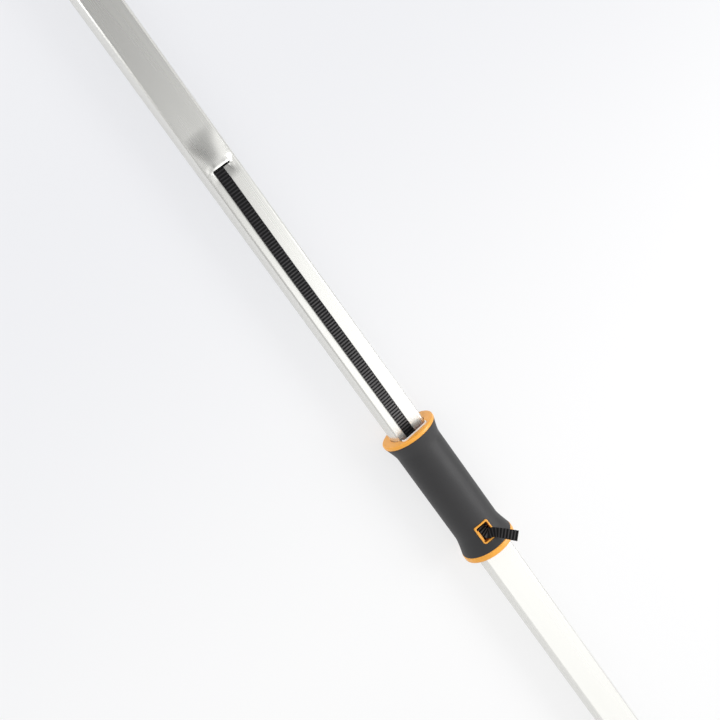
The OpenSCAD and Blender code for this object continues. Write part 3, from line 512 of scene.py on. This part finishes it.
# strap: one ribbed webbing band from the slot along the flat face, through the grip and out of its window
# each point of a route is x, y, z and the turn of the band's width, in degrees
strap = {"width": 10.0, "thick": 1.3, "valley": 0.30, "pitch": 2.93, "ribPower": 0.75, "edgeWave": 0.025,
         "edgeThick": 0.35, "edgePower": 6, "step": 0.32, "across": 11, "slotX": 863.8, "gripX": 574.4,
         "inner": [(912.0, 3.2, 7.1, 0), (900.0, 3.3, 7.5, 0), (885.8, 3.4, 8.1, 0), (874.8, 3.5, 8.6, 0)],
         "run": [(863.8, 3.5, 9.15, 0), (857.84, 3.5, 9.66, 0), (853.76, 3.5, 10.27, 0), (849.8, 3.5, 10.75, 0),
                 (840.8, 3.5, 10.8, 0), (780.0, 3.55, 11.15, 0), (700.0, 3.0, 11.2, 0), (640.0, 2.6, 11.0, 0),
                 (574.4, 2.4, 10.75, 0), (540.0, 2.6, 10.75, 0), (504.9, 3.0, 10.75, 0),
                 (474.9, 3.0, 10.75, 0)],
         "tail": [(468.9, 3.0, 11.62, 0), (461.9, 3.0, 14.47, 0), (455.9, 3.0, 16.95, 0),
                  (453.3, 2.7, 18.25, 0), (451.9, 1.9, 20.95, 5), (451.6, 1.1, 22.9, 36),
                  (451.5, -0.4, 24.8, 64), (449.7, -4.0, 28.8, 73), (444.7, -9.0, 34.5, 56),
                  (438.0, -15.35, 40.25, 38)],
         # inside the pole it turns on edge, then bends round the guide on the tilt bolt to the spool
         "inside": [(912.6, 3.2, 7.05, 0), (951.8, 3.0, 5.7, 0), (1026.4, 4.0, 4.5, 25), (1096.8, 5.5, 3.0, 60),
                    (1165.0, 6.71, 1.5, 90), (1185.0, 6.71, 1.5, 90), (1256.0, 6.71, 1.5, 90),
                    (1262.5, 6.75, 1.5, 90), (1266.0, 6.55, 1.5, 90), (1276.0, 9.95, 1.5, 90),
                    (1300.4, 21.75, 1.5, 90)],
         "insideStep": 0.5, "insideAcross": 5, "tilt": (1256.0, 1266.0),
         "spool": (1322.0, 0.0, 1.5), "wrap": 28.62, "turns": (150.0, -190.0), "turnStep": -1.0}


def smoothRoute(points, step):
    p = np.array(points, float)
    out = []
    for i in range(len(p) - 1):
        a, b, c, d = p[max(i - 1, 0)], p[i], p[i + 1], p[min(i + 2, len(p) - 1)]
        # the knots of the curve follow the distance between points, so uneven points stay smooth
        k = [max(np.linalg.norm(v[:3]), 1e-6) ** 0.5 for v in (b - a, c - b, d - c)]
        k[0] = k[0] if i > 0 else k[1]
        k[2] = k[2] if i < len(p) - 2 else k[1]
        m1 = (c - b) + k[1] * ((b - a) / k[0] - (c - a) / (k[0] + k[1])) if i > 0 else c - b
        m2 = (c - b) + k[1] * ((d - c) / k[2] - (d - b) / (k[1] + k[2])) if i < len(p) - 2 else c - b
        n = max(2, int(np.linalg.norm((c - b)[:3]) / step))
        for j in range(n):
            t = j / n
            out.append((2 * t**3 - 3 * t**2 + 1) * b + (t**3 - 2 * t**2 + t) * m1
                       + (3 * t**2 - 2 * t**3) * c + (t**3 - t**2) * m2)
    out.append(p[-1])
    return np.array(out)


def ribbedBand(name, route, widthOf, cfg):
    centre = route[:, :3]
    along = np.concatenate([[0], np.cumsum(np.linalg.norm(np.diff(centre, axis=0), axis=1))])
    heading = np.gradient(centre, axis=0)
    heading /= np.linalg.norm(heading, axis=1)[:, None]
    k = cfg["across"]
    shares = np.sin(np.linspace(-0.5, 0.5, k) * math.pi)     # closer together towards the edges
    wave, valley, least = cfg["edgeWave"], cfg["valley"], cfg["edgeThick"]
    verts, uv = [], []
    for i, c in enumerate(centre):
        across = widthOf(route[i, 3])
        normal = np.cross(heading[i], across)
        normal /= np.linalg.norm(normal)
        across = np.cross(normal, heading[i])
        rib = abs(math.sin(math.pi * along[i] / cfg["pitch"])) ** cfg["ribPower"]
        half = cfg["width"] / 2 * (1 - wave + wave * rib)
        for side in (1, -1):
            for share in (shares if side > 0 else shares[::-1]):
                thick = cfg["thick"] / 2 * (valley + (1 - valley) * rib)
                thick *= least + (1 - least) * (1 - abs(share) ** cfg["edgePower"])
                verts.append((c + across * share * half + normal * side * thick) * mm)
                uv.append((share * half * mm, along[i] * mm))
    made = newPiece(name, verts, [f[::-1] for f in tubeFaces(len(centre), 2 * k)], "webbing", uv)
    return made, along[-1]


def buildStrap(cfg):
    def flat(a):
        return np.array([-math.sin(math.radians(a)), math.cos(math.radians(a)), 0.0])

    def onEdge(a):
        return np.array([0.0, math.cos(math.radians(a)), math.sin(math.radians(a))])

    route = smoothRoute(cfg["inner"] + cfg["run"] + cfg["tail"], cfg["step"])
    made, length = ribbedBand("strapBand", route, flat, cfg)
    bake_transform(made)
    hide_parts("strap_run", "strap_tail")

    coarse = dict(cfg, across=cfg["insideAcross"])
    inside, more = ribbedBand("strapInside", smoothRoute(cfg["inside"], cfg["insideStep"]), onEdge, coarse)
    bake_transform(inside)
    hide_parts("strap_inner", "strap_lead")

    x, y, z = cfg["spool"]
    turn = [math.radians(a) for a in np.arange(*cfg["turns"], cfg["turnStep"])]
    circle = np.array([(x + cfg["wrap"] * math.cos(a), y + cfg["wrap"] * math.sin(a), z, 90) for a in turn])
    wound, rest = ribbedBand("strapWrap", circle, onEdge, coarse)
    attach(wound, "spool")
    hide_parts("strap_wrap")
    print("strap:", len(route), "rings,", round(length), "mm outside,", round(more + rest), "mm inside")


buildStrap(strap)


# pole: a drawn D-section tube with the hood and ramp of the strap slot pressed into its flat face
pole = {"radius": 18.0, "flat": 9.8, "wall": 1.6, "bevel": 0.9, "bevelAngle": 28.0, "bevelRows": (0.3, 0.65),
        "backPoints": 97, "columns": 72, "from": 30.0, "to": 1230.0, "slotX": 863.8, "openHalf": 8.4,
        "mouth": 1.8, "roll": {"length": 2.2, "drop": 0.45},
        "hood": {"length": 35.0, "height": 2.3, "level": 5.0, "lip": (5.5, 12.5), "spread": 14.0,
                 "widens": 6.0},
        "ramp": {"length": 13.0, "height": -1.5, "lip": (6.0, 10.5), "spread": 13.5, "widens": 10.0},
        "crown": 2.3, "past": 1.02, "rows": {"ramp": 34, "mouth": 5, "roll": 8, "hood": 46}, "crisp": 30.0}


def poleProfile(cfg):
    r, h = cfg["radius"], cfg["flat"]
    edge = math.sqrt(r * r - h * h) - cfg["bevel"]
    slope = math.tan(math.radians(cfg["bevelAngle"]))
    # the bevel ends where it meets the round back
    drop = 0.0
    while (edge + drop) ** 2 + (h - drop * slope) ** 2 < r * r:
        drop += 0.001
    meet = math.atan2(h - drop * slope, edge + drop)
    flat = [(y, h) for y in np.linspace(-edge, edge, cfg["columns"])]
    bevelRow = [(edge + drop * t, h - drop * slope * t) for t in cfg["bevelRows"]]
    back = [(r * math.cos(a), r * math.sin(a)) for a in np.linspace(meet, -math.pi - meet, cfg["backPoints"])]
    return flat + bevelRow + back + [(-y, z) for y, z in bevelRow[::-1]]


def buildPole(cfg):
    outline = poleProfile(cfg)
    around = len(outline)
    slotX, rampX = cfg["slotX"], cfg["slotX"] - cfg["mouth"]
    roll, rows = cfg["roll"], cfg["rows"]

    # full height inside the lip's width at the slot, and a low crown from edge to edge away from it
    def across(shape, far, y):
        inner, outer = shape["lip"]
        wider = easy(far / shape["widens"])
        crown = max(1 - (abs(y) / shape["spread"]) ** cfg["crown"], 0.0)
        return (1 - easy((abs(y) - inner) / (outer - inner))) * (1 - wider) + crown * wider

    # the ramp is steepest at the slot
    def ramp(x, y):
        shape, far = cfg["ramp"], rampX - x
        return shape["height"] * across(shape, far, y) * max(1 - far / shape["length"], 0.0) ** 2

    # the hood's edge over the slot is rolled down a little
    def hood(x, y):
        shape, far = cfg["hood"], x - slotX
        near = max(1 - far / roll["length"], 0.0)
        high = shape["height"] * (1 - easy((far - shape["level"]) / (shape["length"] - shape["level"])))
        return (high - roll["drop"] * near**2) * across(shape, far, y)

    def beside(x, y):
        share = (x - rampX) / (slotX - rampX)
        return ramp(rampX, y) * (1 - share) + hood(slotX, y) * share

    rampEnd = rampX - cfg["ramp"]["length"] * cfg["past"]
    hoodEnd = slotX + cfg["hood"]["length"] * cfg["past"]
    rolled = list(slotX + roll["length"] * np.linspace(0, 1, rows["roll"]))
    low = [cfg["from"]] + list(np.linspace(rampEnd, rampX, rows["ramp"]))
    high = rolled + list(np.linspace(rolled[-1], hoodEnd, rows["hood"]))[1:] + [cfg["to"]]
    verts, faces = [], []
    for places, lift in ((low, ramp), (np.linspace(rampX, slotX, rows["mouth"]), beside), (high, hood)):
        first = len(verts)
        for x in places:
            for i, (y, z) in enumerate(outline):
                rise = lift(x, y) if i < cfg["columns"] else 0.0
                verts.append((x * mm, y * mm, (z + rise) * mm))
        # the slot is left open between its two ends
        for f in tubeFaces(len(places), around, False):
            column = f[0] % around
            middle = outline[column][0] / 2 + outline[(column + 1) % around][0] / 2
            if lift != beside or column >= cfg["columns"] - 1 or abs(middle) > cfg["openHalf"]:
                faces.append(tuple(first + k for k in reversed(f)))
    made = newPiece("poleTube", verts, faces, "pole_aluminium")
    joinMesh(made.data, weld["pole"])   # the three lengths meet beside the slot
    wall = made.modifiers.new("wall", "SOLIDIFY")
    wall.thickness = cfg["wall"] * mm
    wall.offset = -1.0
    wall.use_even_offset = True
    bakeShape(made, cfg["crisp"])
    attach(made, "pole")
    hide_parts("pole_tube")
    print("pole:", len(made.data.polygons), "faces")


buildPole(pole)


# grip: moulded core with its two rings and window frame, and a soft sleeve over it
grip = {"from": 430.8, "to": 574.4, "ringRadius": 27.5, "ringTop": 3.9, "ringLow": 6.0, "edge": 1.0, "lip": 0.4,
        "roundSteps": 6, "crisp": 50.0, "coreRadius": 21.0, "gap": 0.8, "ringGap": 0.35, "mouthWidth": 29.4,
        "mouthTop": 20.4, "mouthCorner": 4.0, "channelWidth": 23.0, "channelRadius": 19.2, "steps": 480,
        "liner": {"section": [(-3.8, 0.02), (0.5, 0.02), (0.95, 0.2), (1.1, 0.65), (0.95, 1.1), (0.5, 1.3),
                              (-3.8, 1.3)], "down": 1.0, "steps": 19}}
sleeve = {"waist": 23.2, "flare": 27.2, "flareTop": 15.5, "flareLow": 19.5, "curve": 1.7, "shoulder": 0.4,
          "inside": 21.05, "lip": 0.5, "lipShare": 0.3, "around": 180, "rows": (26, 14, 22), "plain": (25, 20)}
window = {"x": 454.7, "length": 20.2, "width": 15.6, "bar": 1.6, "radius": 25.0, "corner": 2.2,
          "cornerShare": 0.5, "turn": 6.89, "clear": 0.3, "cut": (12.1, 40.0), "soft": 0.8, "softSteps": 5,
          "skirt": 4.0, "depth": 1.6, "well": 7.0, "crisp": 50.0,
          "ledge": {"wide": 1.2, "root": 1.5, "top": 22.0, "thick": 1.2, "chamfer": 0.3, "from": -7.27,
                    "to": 4.85}}
tiny = 1e-6   # keeps a direction's share from dividing by nothing


# distance from the pole's axis to its outline, grown by gap, in the direction a
def poleReach(a, gap):
    r, h = pole["radius"] + gap, pole["flat"] + gap
    edge = math.sqrt(r * r - h * h) - pole["bevel"]
    b = math.radians(pole["bevelAngle"])
    c, s = abs(math.cos(a)), math.sin(a)
    reach = r
    if s > tiny:
        reach = min(reach, h / s)
    lean = c * math.sin(b) + s * math.cos(b)
    if lean > tiny:
        reach = min(reach, (h * math.cos(b) + edge * math.sin(b)) / lean)
    return reach


# the strap's mouth in the upper ring: a rectangle with rounded upper corners
def mouthReach(a, cfg):
    c, s = abs(math.cos(a)), math.sin(a)
    if s <= tiny:
        return 0.0
    half, top, corner = cfg["mouthWidth"] / 2, cfg["mouthTop"], cfg["mouthCorner"]
    reach = min(half / max(c, tiny), top / s)
    if reach * c > half - corner and reach * s > top - corner:
        along = c * (half - corner) + s * (top - corner)
        reach = along + math.sqrt(max(along**2 - (half - corner) ** 2 - (top - corner) ** 2 + corner**2, 0.0))
    return reach


# the strap's channel through the core
def channelReach(a, cfg):
    c, s = abs(math.cos(a)), math.sin(a)
    return min(cfg["channelWidth"] / 2 / max(c, tiny), cfg["channelRadius"]) if s > 0 else 0.0


def gripLoop(x, reaches, angles):
    return [(x * mm, r * math.cos(a) * mm, r * math.sin(a) * mm) for r, a in zip(reaches, angles)]


def circleLoop(x, r, angles):
    return gripLoop(x, [r] * len(angles), angles)


# points of a rounded rectangle, with the same count for every size
def roundedLoop(length, width, corner, each=8):
    out = []
    for sx, sy, start in ((1, 1, 0), (-1, 1, 90), (-1, -1, 180), (1, -1, 270)):
        for k in range(each + 1):
            a = math.radians(start + 90 * k / each)
            out.append((sx * (length / 2 - corner) + corner * math.cos(a),
                        sy * (width / 2 - corner) + corner * math.sin(a)))
    return out


# from the window's own place, turned about the grip's axis, to the frame
def overWindow(x, y, z, cfg):
    t = math.radians(cfg["turn"])
    return ((cfg["x"] + x) * mm, (y * math.cos(t) + z * math.sin(t)) * mm,
            (z * math.cos(t) - y * math.sin(t)) * mm)


def ringPiece(name, x0, x1, hole, cfg, angles):
    e, lip, big, arc = cfg["edge"], cfg["lip"], cfg["ringRadius"], quarter(cfg["roundSteps"])
    rim = [(x0 + e - e * math.cos(t), big - e + e * math.sin(t)) for t in arc]
    rim += [(x1 - e + e * math.sin(t), big - e + e * math.cos(t)) for t in arc]
    loops = [gripLoop(x0, hole, angles)] + [circleLoop(x, r, angles) for x, r in rim]
    loops += [gripLoop(x1 - lip + lip * math.cos(t), [h + lip - lip * math.sin(t) for h in hole], angles)
              for t in arc]
    return bandPiece(name, loops, "orange_plastic", cfg["crisp"])


# the sleeve swells towards both rings, and t is the share of the way from a ring to the waist
def flared(t, cfg):
    if t >= 1:
        return cfg["waist"]
    return cfg["waist"] + (cfg["flare"] - cfg["waist"]) * (1 - t) ** cfg["curve"] * (1 + cfg["shoulder"] * t)


def sleeveStations(cfg, x0, x1):
    low, top, lip = cfg["flareLow"], cfg["flareTop"], cfg["lip"]
    places = np.concatenate([np.linspace(x0, x0 + low, cfg["rows"][0]),
                             np.linspace(x0 + cfg["plain"][0], x1 - cfg["plain"][1], cfg["rows"][1]),
                             np.linspace(x1 - top, x1, cfg["rows"][2])])
    out = [(x, max(flared((x - x0) / low, cfg), flared((x1 - x) / top, cfg))) for x in places]
    (firstX, firstR), (lastX, lastR), part = out[0], out[-1], lip * cfg["lipShare"]
    return ([(firstX, firstR - lip), (firstX + part, firstR - part)] + out[1:-1]
            + [(lastX - part, lastR - part), (lastX, lastR - lip)])


# the frame round the window, the well below it and the ledge at one side
def windowPieces(win):
    def framePoint(x, y, drop):
        return overWindow(x, y, math.sqrt(win["radius"] ** 2 - y * y) - drop, win)

    def frameLoop(inset, drop):
        loop = roundedLoop(win["length"] - 2 * inset, win["width"] - 2 * inset,
                           win["corner"] - inset * win["cornerShare"])
        return [framePoint(x, y, drop) for x, y in loop]

    s, bar, arc = win["soft"], win["bar"], quarter(win["softSteps"])
    rows = [(0.0, win["skirt"])] + [(s - s * math.cos(t), s - s * math.sin(t)) for t in arc]
    rows += [(bar - s + s * math.sin(t), s - s * math.cos(t)) for t in arc] + [(bar, win["depth"])]
    framePiece = bandPiece("windowFrame", [frameLoop(*row) for row in rows], "orange_plastic", win["crisp"])

    loops = [frameLoop(bar, drop) for drop in (win["depth"], win["well"])]
    outline = roundedLoop(win["length"] - bar, win["width"] - bar, win["corner"])
    loops += [[framePoint(x, y, drop) for x, y in outline] for drop in (win["well"], win["depth"])]
    wellPiece = bandPiece("windowWell", loops, "orange_plastic", win["crisp"])
    # painted shade: the well takes the darker copy of the orange
    wellPiece.data.materials[0] = finish["shadedOrange"]

    shelf = win["ledge"]
    inner = win["width"] / 2 - bar
    root, tip, cut = inner + shelf["root"], inner - shelf["wide"], shelf["chamfer"]
    top, low = shelf["top"], shelf["top"] - shelf["thick"]
    section = [(root, low), (tip, low), (tip, top - cut), (tip + cut, top), (root, top)]
    verts = [overWindow(x, y, z, win) for x in (shelf["from"], shelf["to"]) for y, z in section]
    ledgePiece = crispPiece("windowLedge", verts, tubeFaces(2, len(section)), "orange_plastic")
    return [framePiece, wellPiece, ledgePiece]


# pale liner round the mouth's roof, its front edge just proud of the ring
def linerPiece(cfg):
    line = cfg["liner"]
    cy, cz = cfg["mouthWidth"] / 2 - cfg["mouthCorner"], cfg["mouthTop"] - cfg["mouthCorner"]
    turns = np.linspace(0, math.pi, line["steps"])
    rows = [(0.0, line["down"])] + [(t, 0.0) for t in turns] + [(math.pi, line["down"])]
    verts = []
    for t, down in rows:
        for x, inset in line["section"]:
            corner = cfg["mouthCorner"] - inset
            y = (cy if t <= math.pi / 2 else -cy) + corner * math.cos(t)
            verts.append(((cfg["to"] + x) * mm, y * mm, (cz + corner * math.sin(t) - down) * mm))
    return crispPiece("mouthLiner", verts, tubeFaces(len(rows), len(line["section"])), "bush_plastic")


def buildGrip(cfg, soft, win):
    angles = fullTurn(cfg["steps"])
    bore = [poleReach(a, cfg["gap"]) for a in angles]
    snug = [poleReach(a, cfg["ringGap"]) for a in angles]
    mouth = [max(b, mouthReach(a, cfg)) for a, b in zip(angles, snug)]
    channel = [max(b, channelReach(a, cfg)) for a, b in zip(angles, bore)]
    x0, x1 = cfg["from"] + cfg["ringLow"], cfg["to"] - cfg["ringTop"]
    topRing = ringPiece("gripRingUpper", x1, cfg["to"], mouth, cfg, angles)
    lowRing = ringPiece("gripRingLower", cfg["from"], x0, snug, cfg, angles)
    core = bandPiece("gripCore", [gripLoop(x0, channel, angles), circleLoop(x0, cfg["coreRadius"], angles),
                                  circleLoop(x1, cfg["coreRadius"], angles), gripLoop(x1, channel, angles)],
                     "orange_plastic")
    # painted shade: the core takes the darker copy of the orange
    core.data.materials[0] = finish["shadedOrange"]

    turn = fullTurn(soft["around"])
    loops = [circleLoop(x, r, turn) for x, r in sleeveStations(soft, x0, x1)]
    loops += [circleLoop(x, soft["inside"], turn) for x in (x1, x0)]
    sleevePiece = bandPiece("gripSleeve", loops, "soft_grip")

    # the window is cut through sleeve and core, then framed
    outline = roundedLoop(win["length"] - win["clear"], win["width"] - win["clear"], win["corner"])
    verts = [overWindow(x, y, z, win) for z in win["cut"] for x, y in outline]
    cutter = crispPiece("windowCutter", verts, tubeFaces(2, len(outline)), "orange_plastic")
    cutOut(cutter, sleevePiece, core)
    for made in [topRing, lowRing, core, sleevePiece] + windowPieces(win) + [linerPiece(cfg)]:
        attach(made, "grip")
    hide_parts("grip_core")
    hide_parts("grip_sleeve")
    print("grip: sleeve", len(sleevePiece.data.polygons), "faces, core", len(core.data.polygons))


buildGrip(grip, sleeve, window)


# head and fittings: the CAD shapes with real fillets along their outward edges
# an edge with both ends between two places on an axis (a band) takes that share of the width
# edges below the shortest length, such as those of the screw holes, stay sharp
fillets = {"upperCover": {"node": "upper_cover", "width": 1.1, "shortest": 0.78,
                          "bands": [(2, 13.4, 13.6, 1.0), (2, -0.05, 0.05, 0.3)]},
           "lowerCover": {"node": "lower_cover", "width": 1.1, "shortest": 0.78,
                          "bands": [(2, -13.6, -13.4, 1.0), (2, -0.05, 0.05, 0.3)]},
           "neckFork": {"node": "neck", "width": 0.22, "shortest": 0.62, "bands": [(0, 1229.0, 1290.0, 1.0)]},
           "starKnob": {"node": "tilt_knob", "width": 1.6, "shortest": 0.0, "bands": [(2, -30.0, 0.0, 1.0)]},
           "hookBlade": {"node": "hook", "width": 0.6, "shortest": 0.0, "bands": [(2, -10.0, 0.0, 1.0)]},
           "hangBush": {"node": "hang_bush", "width": 0.8, "shortest": 0.0, "bands": [(2, -20.0, 20.0, 1.0)]},
           "knobRivet": {"node": "knob_rivet", "width": 0.1, "shortest": 0.0, "bands": [(2, -30.0, 30.0, 1.0)]},
           "neckRivets": {"node": "neck_rivets", "width": 0.1, "shortest": 0.0,
                          "bands": [(2, -30.0, 30.0, 1.0)]}}
# an edge turns by more than the first angle and a flat face by less than the second, in degrees
filletMake = {"edge": 35.0, "flat": 1.0, "rows": 3}


# each point's normal leans to its largest faces, so that flat sides stay flat beside a fillet
def levelNormals(mesh):
    total = np.zeros((len(mesh.vertices), 3))
    for face in mesh.polygons:
        total[list(face.vertices)] += np.array(face.normal) * face.area
    mesh.normals_split_custom_set_from_vertices(total / np.linalg.norm(total, axis=1)[:, None])


def edgeShare(edge, cfg):
    turns = edge.is_convex and edge.calc_face_angle(0.0) > math.radians(filletMake["edge"])
    if not turns or edge.calc_length() < cfg["shortest"] * mm:
        return 0.0
    for axis, low, high, share in cfg["bands"]:
        if all(low < end.co[axis] / mm < high for end in edge.verts):
            return share
    return 0.0


def filletNode(name, cfg):
    node = cfg["node"]
    shell = bmesh.new()
    shell.from_mesh(nodes[node].data)
    bmesh.ops.remove_doubles(shell, verts=shell.verts, dist=weld["cad"])
    bmesh.ops.dissolve_limit(shell, angle_limit=math.radians(filletMake["flat"]), verts=shell.verts,
                             edges=shell.edges)
    weight = shell.edges.layers.float.new("bevel_weight_edge")
    for edge in shell.edges:
        edge[weight] = edgeShare(edge, cfg)
    mesh = bpy.data.meshes.new(name)
    shell.to_mesh(mesh)
    shell.free()
    made = bpy.data.objects.new(name, mesh)
    scene.collection.objects.link(made)
    mesh.materials.append(finish[slotOf[node]])
    soft = made.modifiers.new("fillet", "BEVEL")
    soft.width = cfg["width"] * mm
    soft.segments = filletMake["rows"]
    soft.use_clamp_overlap = False
    soft.loop_slide = False
    soft.limit_method = "WEIGHT"
    bakeShape(made)
    levelNormals(made.data)
    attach(made, bodyOf[node])
    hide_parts(node)


for pieceName, pieceCfg in fillets.items():
    filletNode(pieceName, pieceCfg)
print("fillets on", len(fillets), "nodes")


# screws of the casing: round heads with a hexagon socket
screws = {"spots": [(1292.3, -24.0), (1292.3, 24.0), (1330.0, 37.0), (1330.0, -37.0), (1368.99, -21.51)],
          "foot": -13.5, "seat": 13.5, "shank": 2.0, "chamfer": 0.3, "around": 48,
          "socket": 1.55, "socketLip": 1.06, "socketEdge": 0.12, "socketDeep": 1.3,
          "head": [(3.75, 0.0), (3.8, 0.25), (3.75, 0.7), (3.4, 1.3), (2.7, 1.75), (1.95, 1.95)]}


def buildScrews(cfg):
    turn = fullTurn(cfg["around"])
    hexagon = [cfg["socket"] * hexShare(a) for a in turn]
    shank, foot, seat, cut = cfg["shank"], cfg["foot"], cfg["seat"], cfg["chamfer"]
    rows = [(shank - cut, foot), (shank, foot + cut), (shank, seat)] + [(r, seat + z) for r, z in cfg["head"]]
    rows = [([r] * len(turn), z) for r, z in rows]
    top = rows[-1][1]
    rows += [([h * cfg["socketLip"] for h in hexagon], top), (hexagon, top - cfg["socketEdge"]),
             (hexagon, top - cfg["socketDeep"])]
    verts, faces = [], []
    for x, y in cfg["spots"]:
        first = len(verts)
        verts += turnedPoints(x, y, rows, turn)
        faces += [tuple(first + k for k in f) for f in tubeFaces(len(rows), len(turn))]
    made = crispPiece("coverScrews", verts, faces, "bright_steel")
    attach(made, "head")
    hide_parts("cover_screws")
    print("screws:", len(cfg["spots"]))


buildScrews(screws)


# flanged hexagon bolts and the pivot's nut, with the turned chamfers that such heads have
# a bolt's widths are shares of its radius, and the flange's rows are an inset and a height
bolts = {"around": 96, "seat": 13.5, "head": 4.0, "chamfer": 0.4, "flangeWide": 2.0, "headWide": 1.6,
         "flange": [(0.25, 0.0), (0.0, 0.25), (0.0, 0.9), (0.2, 1.35), (0.6, 1.5)],
         "crown": {"from": 0.95, "to": 0.3, "cut": 0.945, "face": 0.85}, "crisp": 25.0,
         "bolts": {"tiltBolt": {"node": "tilt_bolt", "x": 1268.0, "radius": 4.0, "foot": -23.5},
                   "pivotBolt": {"node": "pivot_bolt", "x": 1367.0, "radius": 5.0, "foot": -18.5}},
         "nut": {"name": "pivotNut", "node": "pivot_nut", "x": 1367.0, "radius": 8.5, "hole": 5.15,
                 "low": -17.5}}


def buildBolts(cfg):
    turn = fullTurn(cfg["around"])
    n = len(turn)
    share = [hexShare(a) for a in turn]
    cut, crown = cfg["chamfer"], cfg["crown"]

    # a hexagon's last rows, up to its chamfered end at z
    def chamfered(big, z, up):
        return [([big * s for s in share], z - up * crown["from"]),
                ([big * min(s, crown["cut"]) for s in share], z - up * crown["to"]),
                ([big * crown["face"]] * n, z)]

    for name, bolt in cfg["bolts"].items():
        r, foot, seat = bolt["radius"], bolt["foot"], cfg["seat"]
        wide, hexagon = cfg["flangeWide"] * r, cfg["headWide"] * r
        rows = [(r - cut, foot), (r, foot + cut), (r, seat)]
        rows += [(wide - inset, seat + high) for inset, high in cfg["flange"]]
        top = rows[-1][1]
        rows = [([reach] * n, z) for reach, z in rows] + [([hexagon * s for s in share], top)]
        rows += chamfered(hexagon, top + cfg["head"], 1)
        made = crispPiece(name, turnedPoints(bolt["x"], 0.0, rows, turn), tubeFaces(len(rows), n),
                          "bright_steel", cfg["crisp"])
        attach(made, "head")
        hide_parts(bolt["node"])

    nut = cfg["nut"]
    hole, low, high = nut["hole"], nut["low"], nut["low"] + cfg["head"]
    rows = [([hole] * n, high - cut), ([hole + cut] * n, high)] + chamfered(nut["radius"], high, 1)[::-1]
    rows += chamfered(nut["radius"], low, -1) + [([hole + cut] * n, low), ([hole] * n, low + cut)]
    loops = [turnedPoints(nut["x"], 0.0, [row], turn) for row in rows]
    made = bandPiece(nut["name"], loops, "bright_steel", cfg["crisp"])
    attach(made, "head")
    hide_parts(nut["node"])
    print("bolts:", len(cfg["bolts"]))


buildBolts(bolts)


# ribs moulded on both covers, beside the spool's axle: the place across and both ends of each
ribs = {"rows": [(7.5, 1283.0, 1350.0), (12.5, 1286.0, 1348.0), (17.5, 1300.0, 1346.0)], "lowerFrom": 1294.0,
        "half": 1.0, "high": 0.9, "tip": 0.02, "level": 13.4, "around": 10, "endSteps": 6}


def buildRibs(cfg):
    half, high, arc = cfg["half"], cfg["high"], quarter(cfg["endSteps"])
    for name, up in (("upperRibs", 1), ("lowerRibs", -1)):
        verts, faces = [], []
        for y, x0, x1 in cfg["rows"]:
            # the lower cover has its ribs past the tilt knob alone
            start = x0 if up > 0 else max(x0, cfg["lowerFrom"])
            for side in (1, -1):
                ends = [(start + half - half * math.cos(t), math.sin(t)) for t in arc]
                ends += [(x1 - half + half * math.sin(t), math.cos(t)) for t in arc]
                first = len(verts)
                for x, share in ends:
                    share = max(share, cfg["tip"])
                    for a in np.linspace(0, math.pi, cfg["around"]):
                        verts.append((x * mm, (side * y + share * half * math.cos(a)) * mm,
                                      up * (cfg["level"] + share * high * math.sin(a)) * mm))
                faces += [tuple(first + k for k in f) for f in tubeFaces(len(ends), cfg["around"])]
        made = crispPiece(name, verts, faces, "dark_plastic")
        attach(made, "head")
    print("ribs:", 4 * len(cfg["rows"]))


buildRibs(ribs)


# end knob: a turned grip with shallow grooves, flattened on both sides round the hang hole
knob = {"from": -26.0, "to": 30.0, "radius": 24.0, "barrel": 0.4, "step": 0.4, "edge": 3.2, "edgeSteps": 9,
        "flat": 14.0, "flatTo": 15.0, "flatFade": 3.5, "flatSoft": 0.1, "grooves": [18.4, 21.4, 24.4],
        "grooveHalf": 0.9, "grooveDeep": 0.7, "around": 144, "hole": 7.56, "cut": 40.0, "crisp": 45.0}


def buildKnob(cfg):
    x0, x1, big, edge, soft = cfg["from"], cfg["to"], cfg["radius"], cfg["edge"], cfg["flatSoft"]
    turn, arc = fullTurn(cfg["around"]), quarter(cfg["edgeSteps"])

    def barrel(x):
        e = 2 * (x - x0) / (x1 - x0) - 1
        r = big * math.sqrt(1 - cfg["barrel"] * e * e)
        near = min(x - x0, x1 - x)
        if near < edge:
            r -= edge - math.sqrt(max(edge**2 - (edge - near) ** 2, 0.0))
        for groove in cfg["grooves"]:
            r -= cfg["grooveDeep"] * max(1 - ((x - groove) / cfg["grooveHalf"]) ** 2, 0.0)
        return r

    # rounds the edge where the flat begins
    def flattened(z, limit):
        over = abs(z) / limit - (1 - soft)
        return z if over < 0 else math.copysign(limit * (1 - soft * math.exp(-over / soft)), z)

    stations = [x0 + edge * (1 - math.cos(t)) for t in arc]
    stations += list(np.arange(x0 + edge + cfg["step"], x1 - edge, cfg["step"]))
    stations += [x1 - edge + edge * math.sin(t) for t in arc]
    verts = []
    for x in stations:
        limit = cfg["flat"] + (big - cfg["flat"]) * easy((x - cfg["flatTo"]) / cfg["flatFade"])
        r = barrel(x)
        verts += [(x * mm, r * math.cos(a) * mm, flattened(r * math.sin(a), limit) * mm) for a in turn]
    made = crispPiece("endKnob", verts, tubeFaces(len(stations), len(turn)), "dark_plastic", cfg["crisp"])
    hole = [([cfg["hole"]] * len(turn), z) for z in (-cfg["cut"], cfg["cut"])]
    verts = turnedPoints(0.0, 0.0, hole, turn)
    cutter = crispPiece("knobCutter", verts, tubeFaces(2, len(turn)), "dark_plastic")
    cutOut(cutter, made)
    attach(made, "pole")
    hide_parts("end_knob")
    print("end knob:", len(made.data.polygons), "faces")


buildKnob(knob)
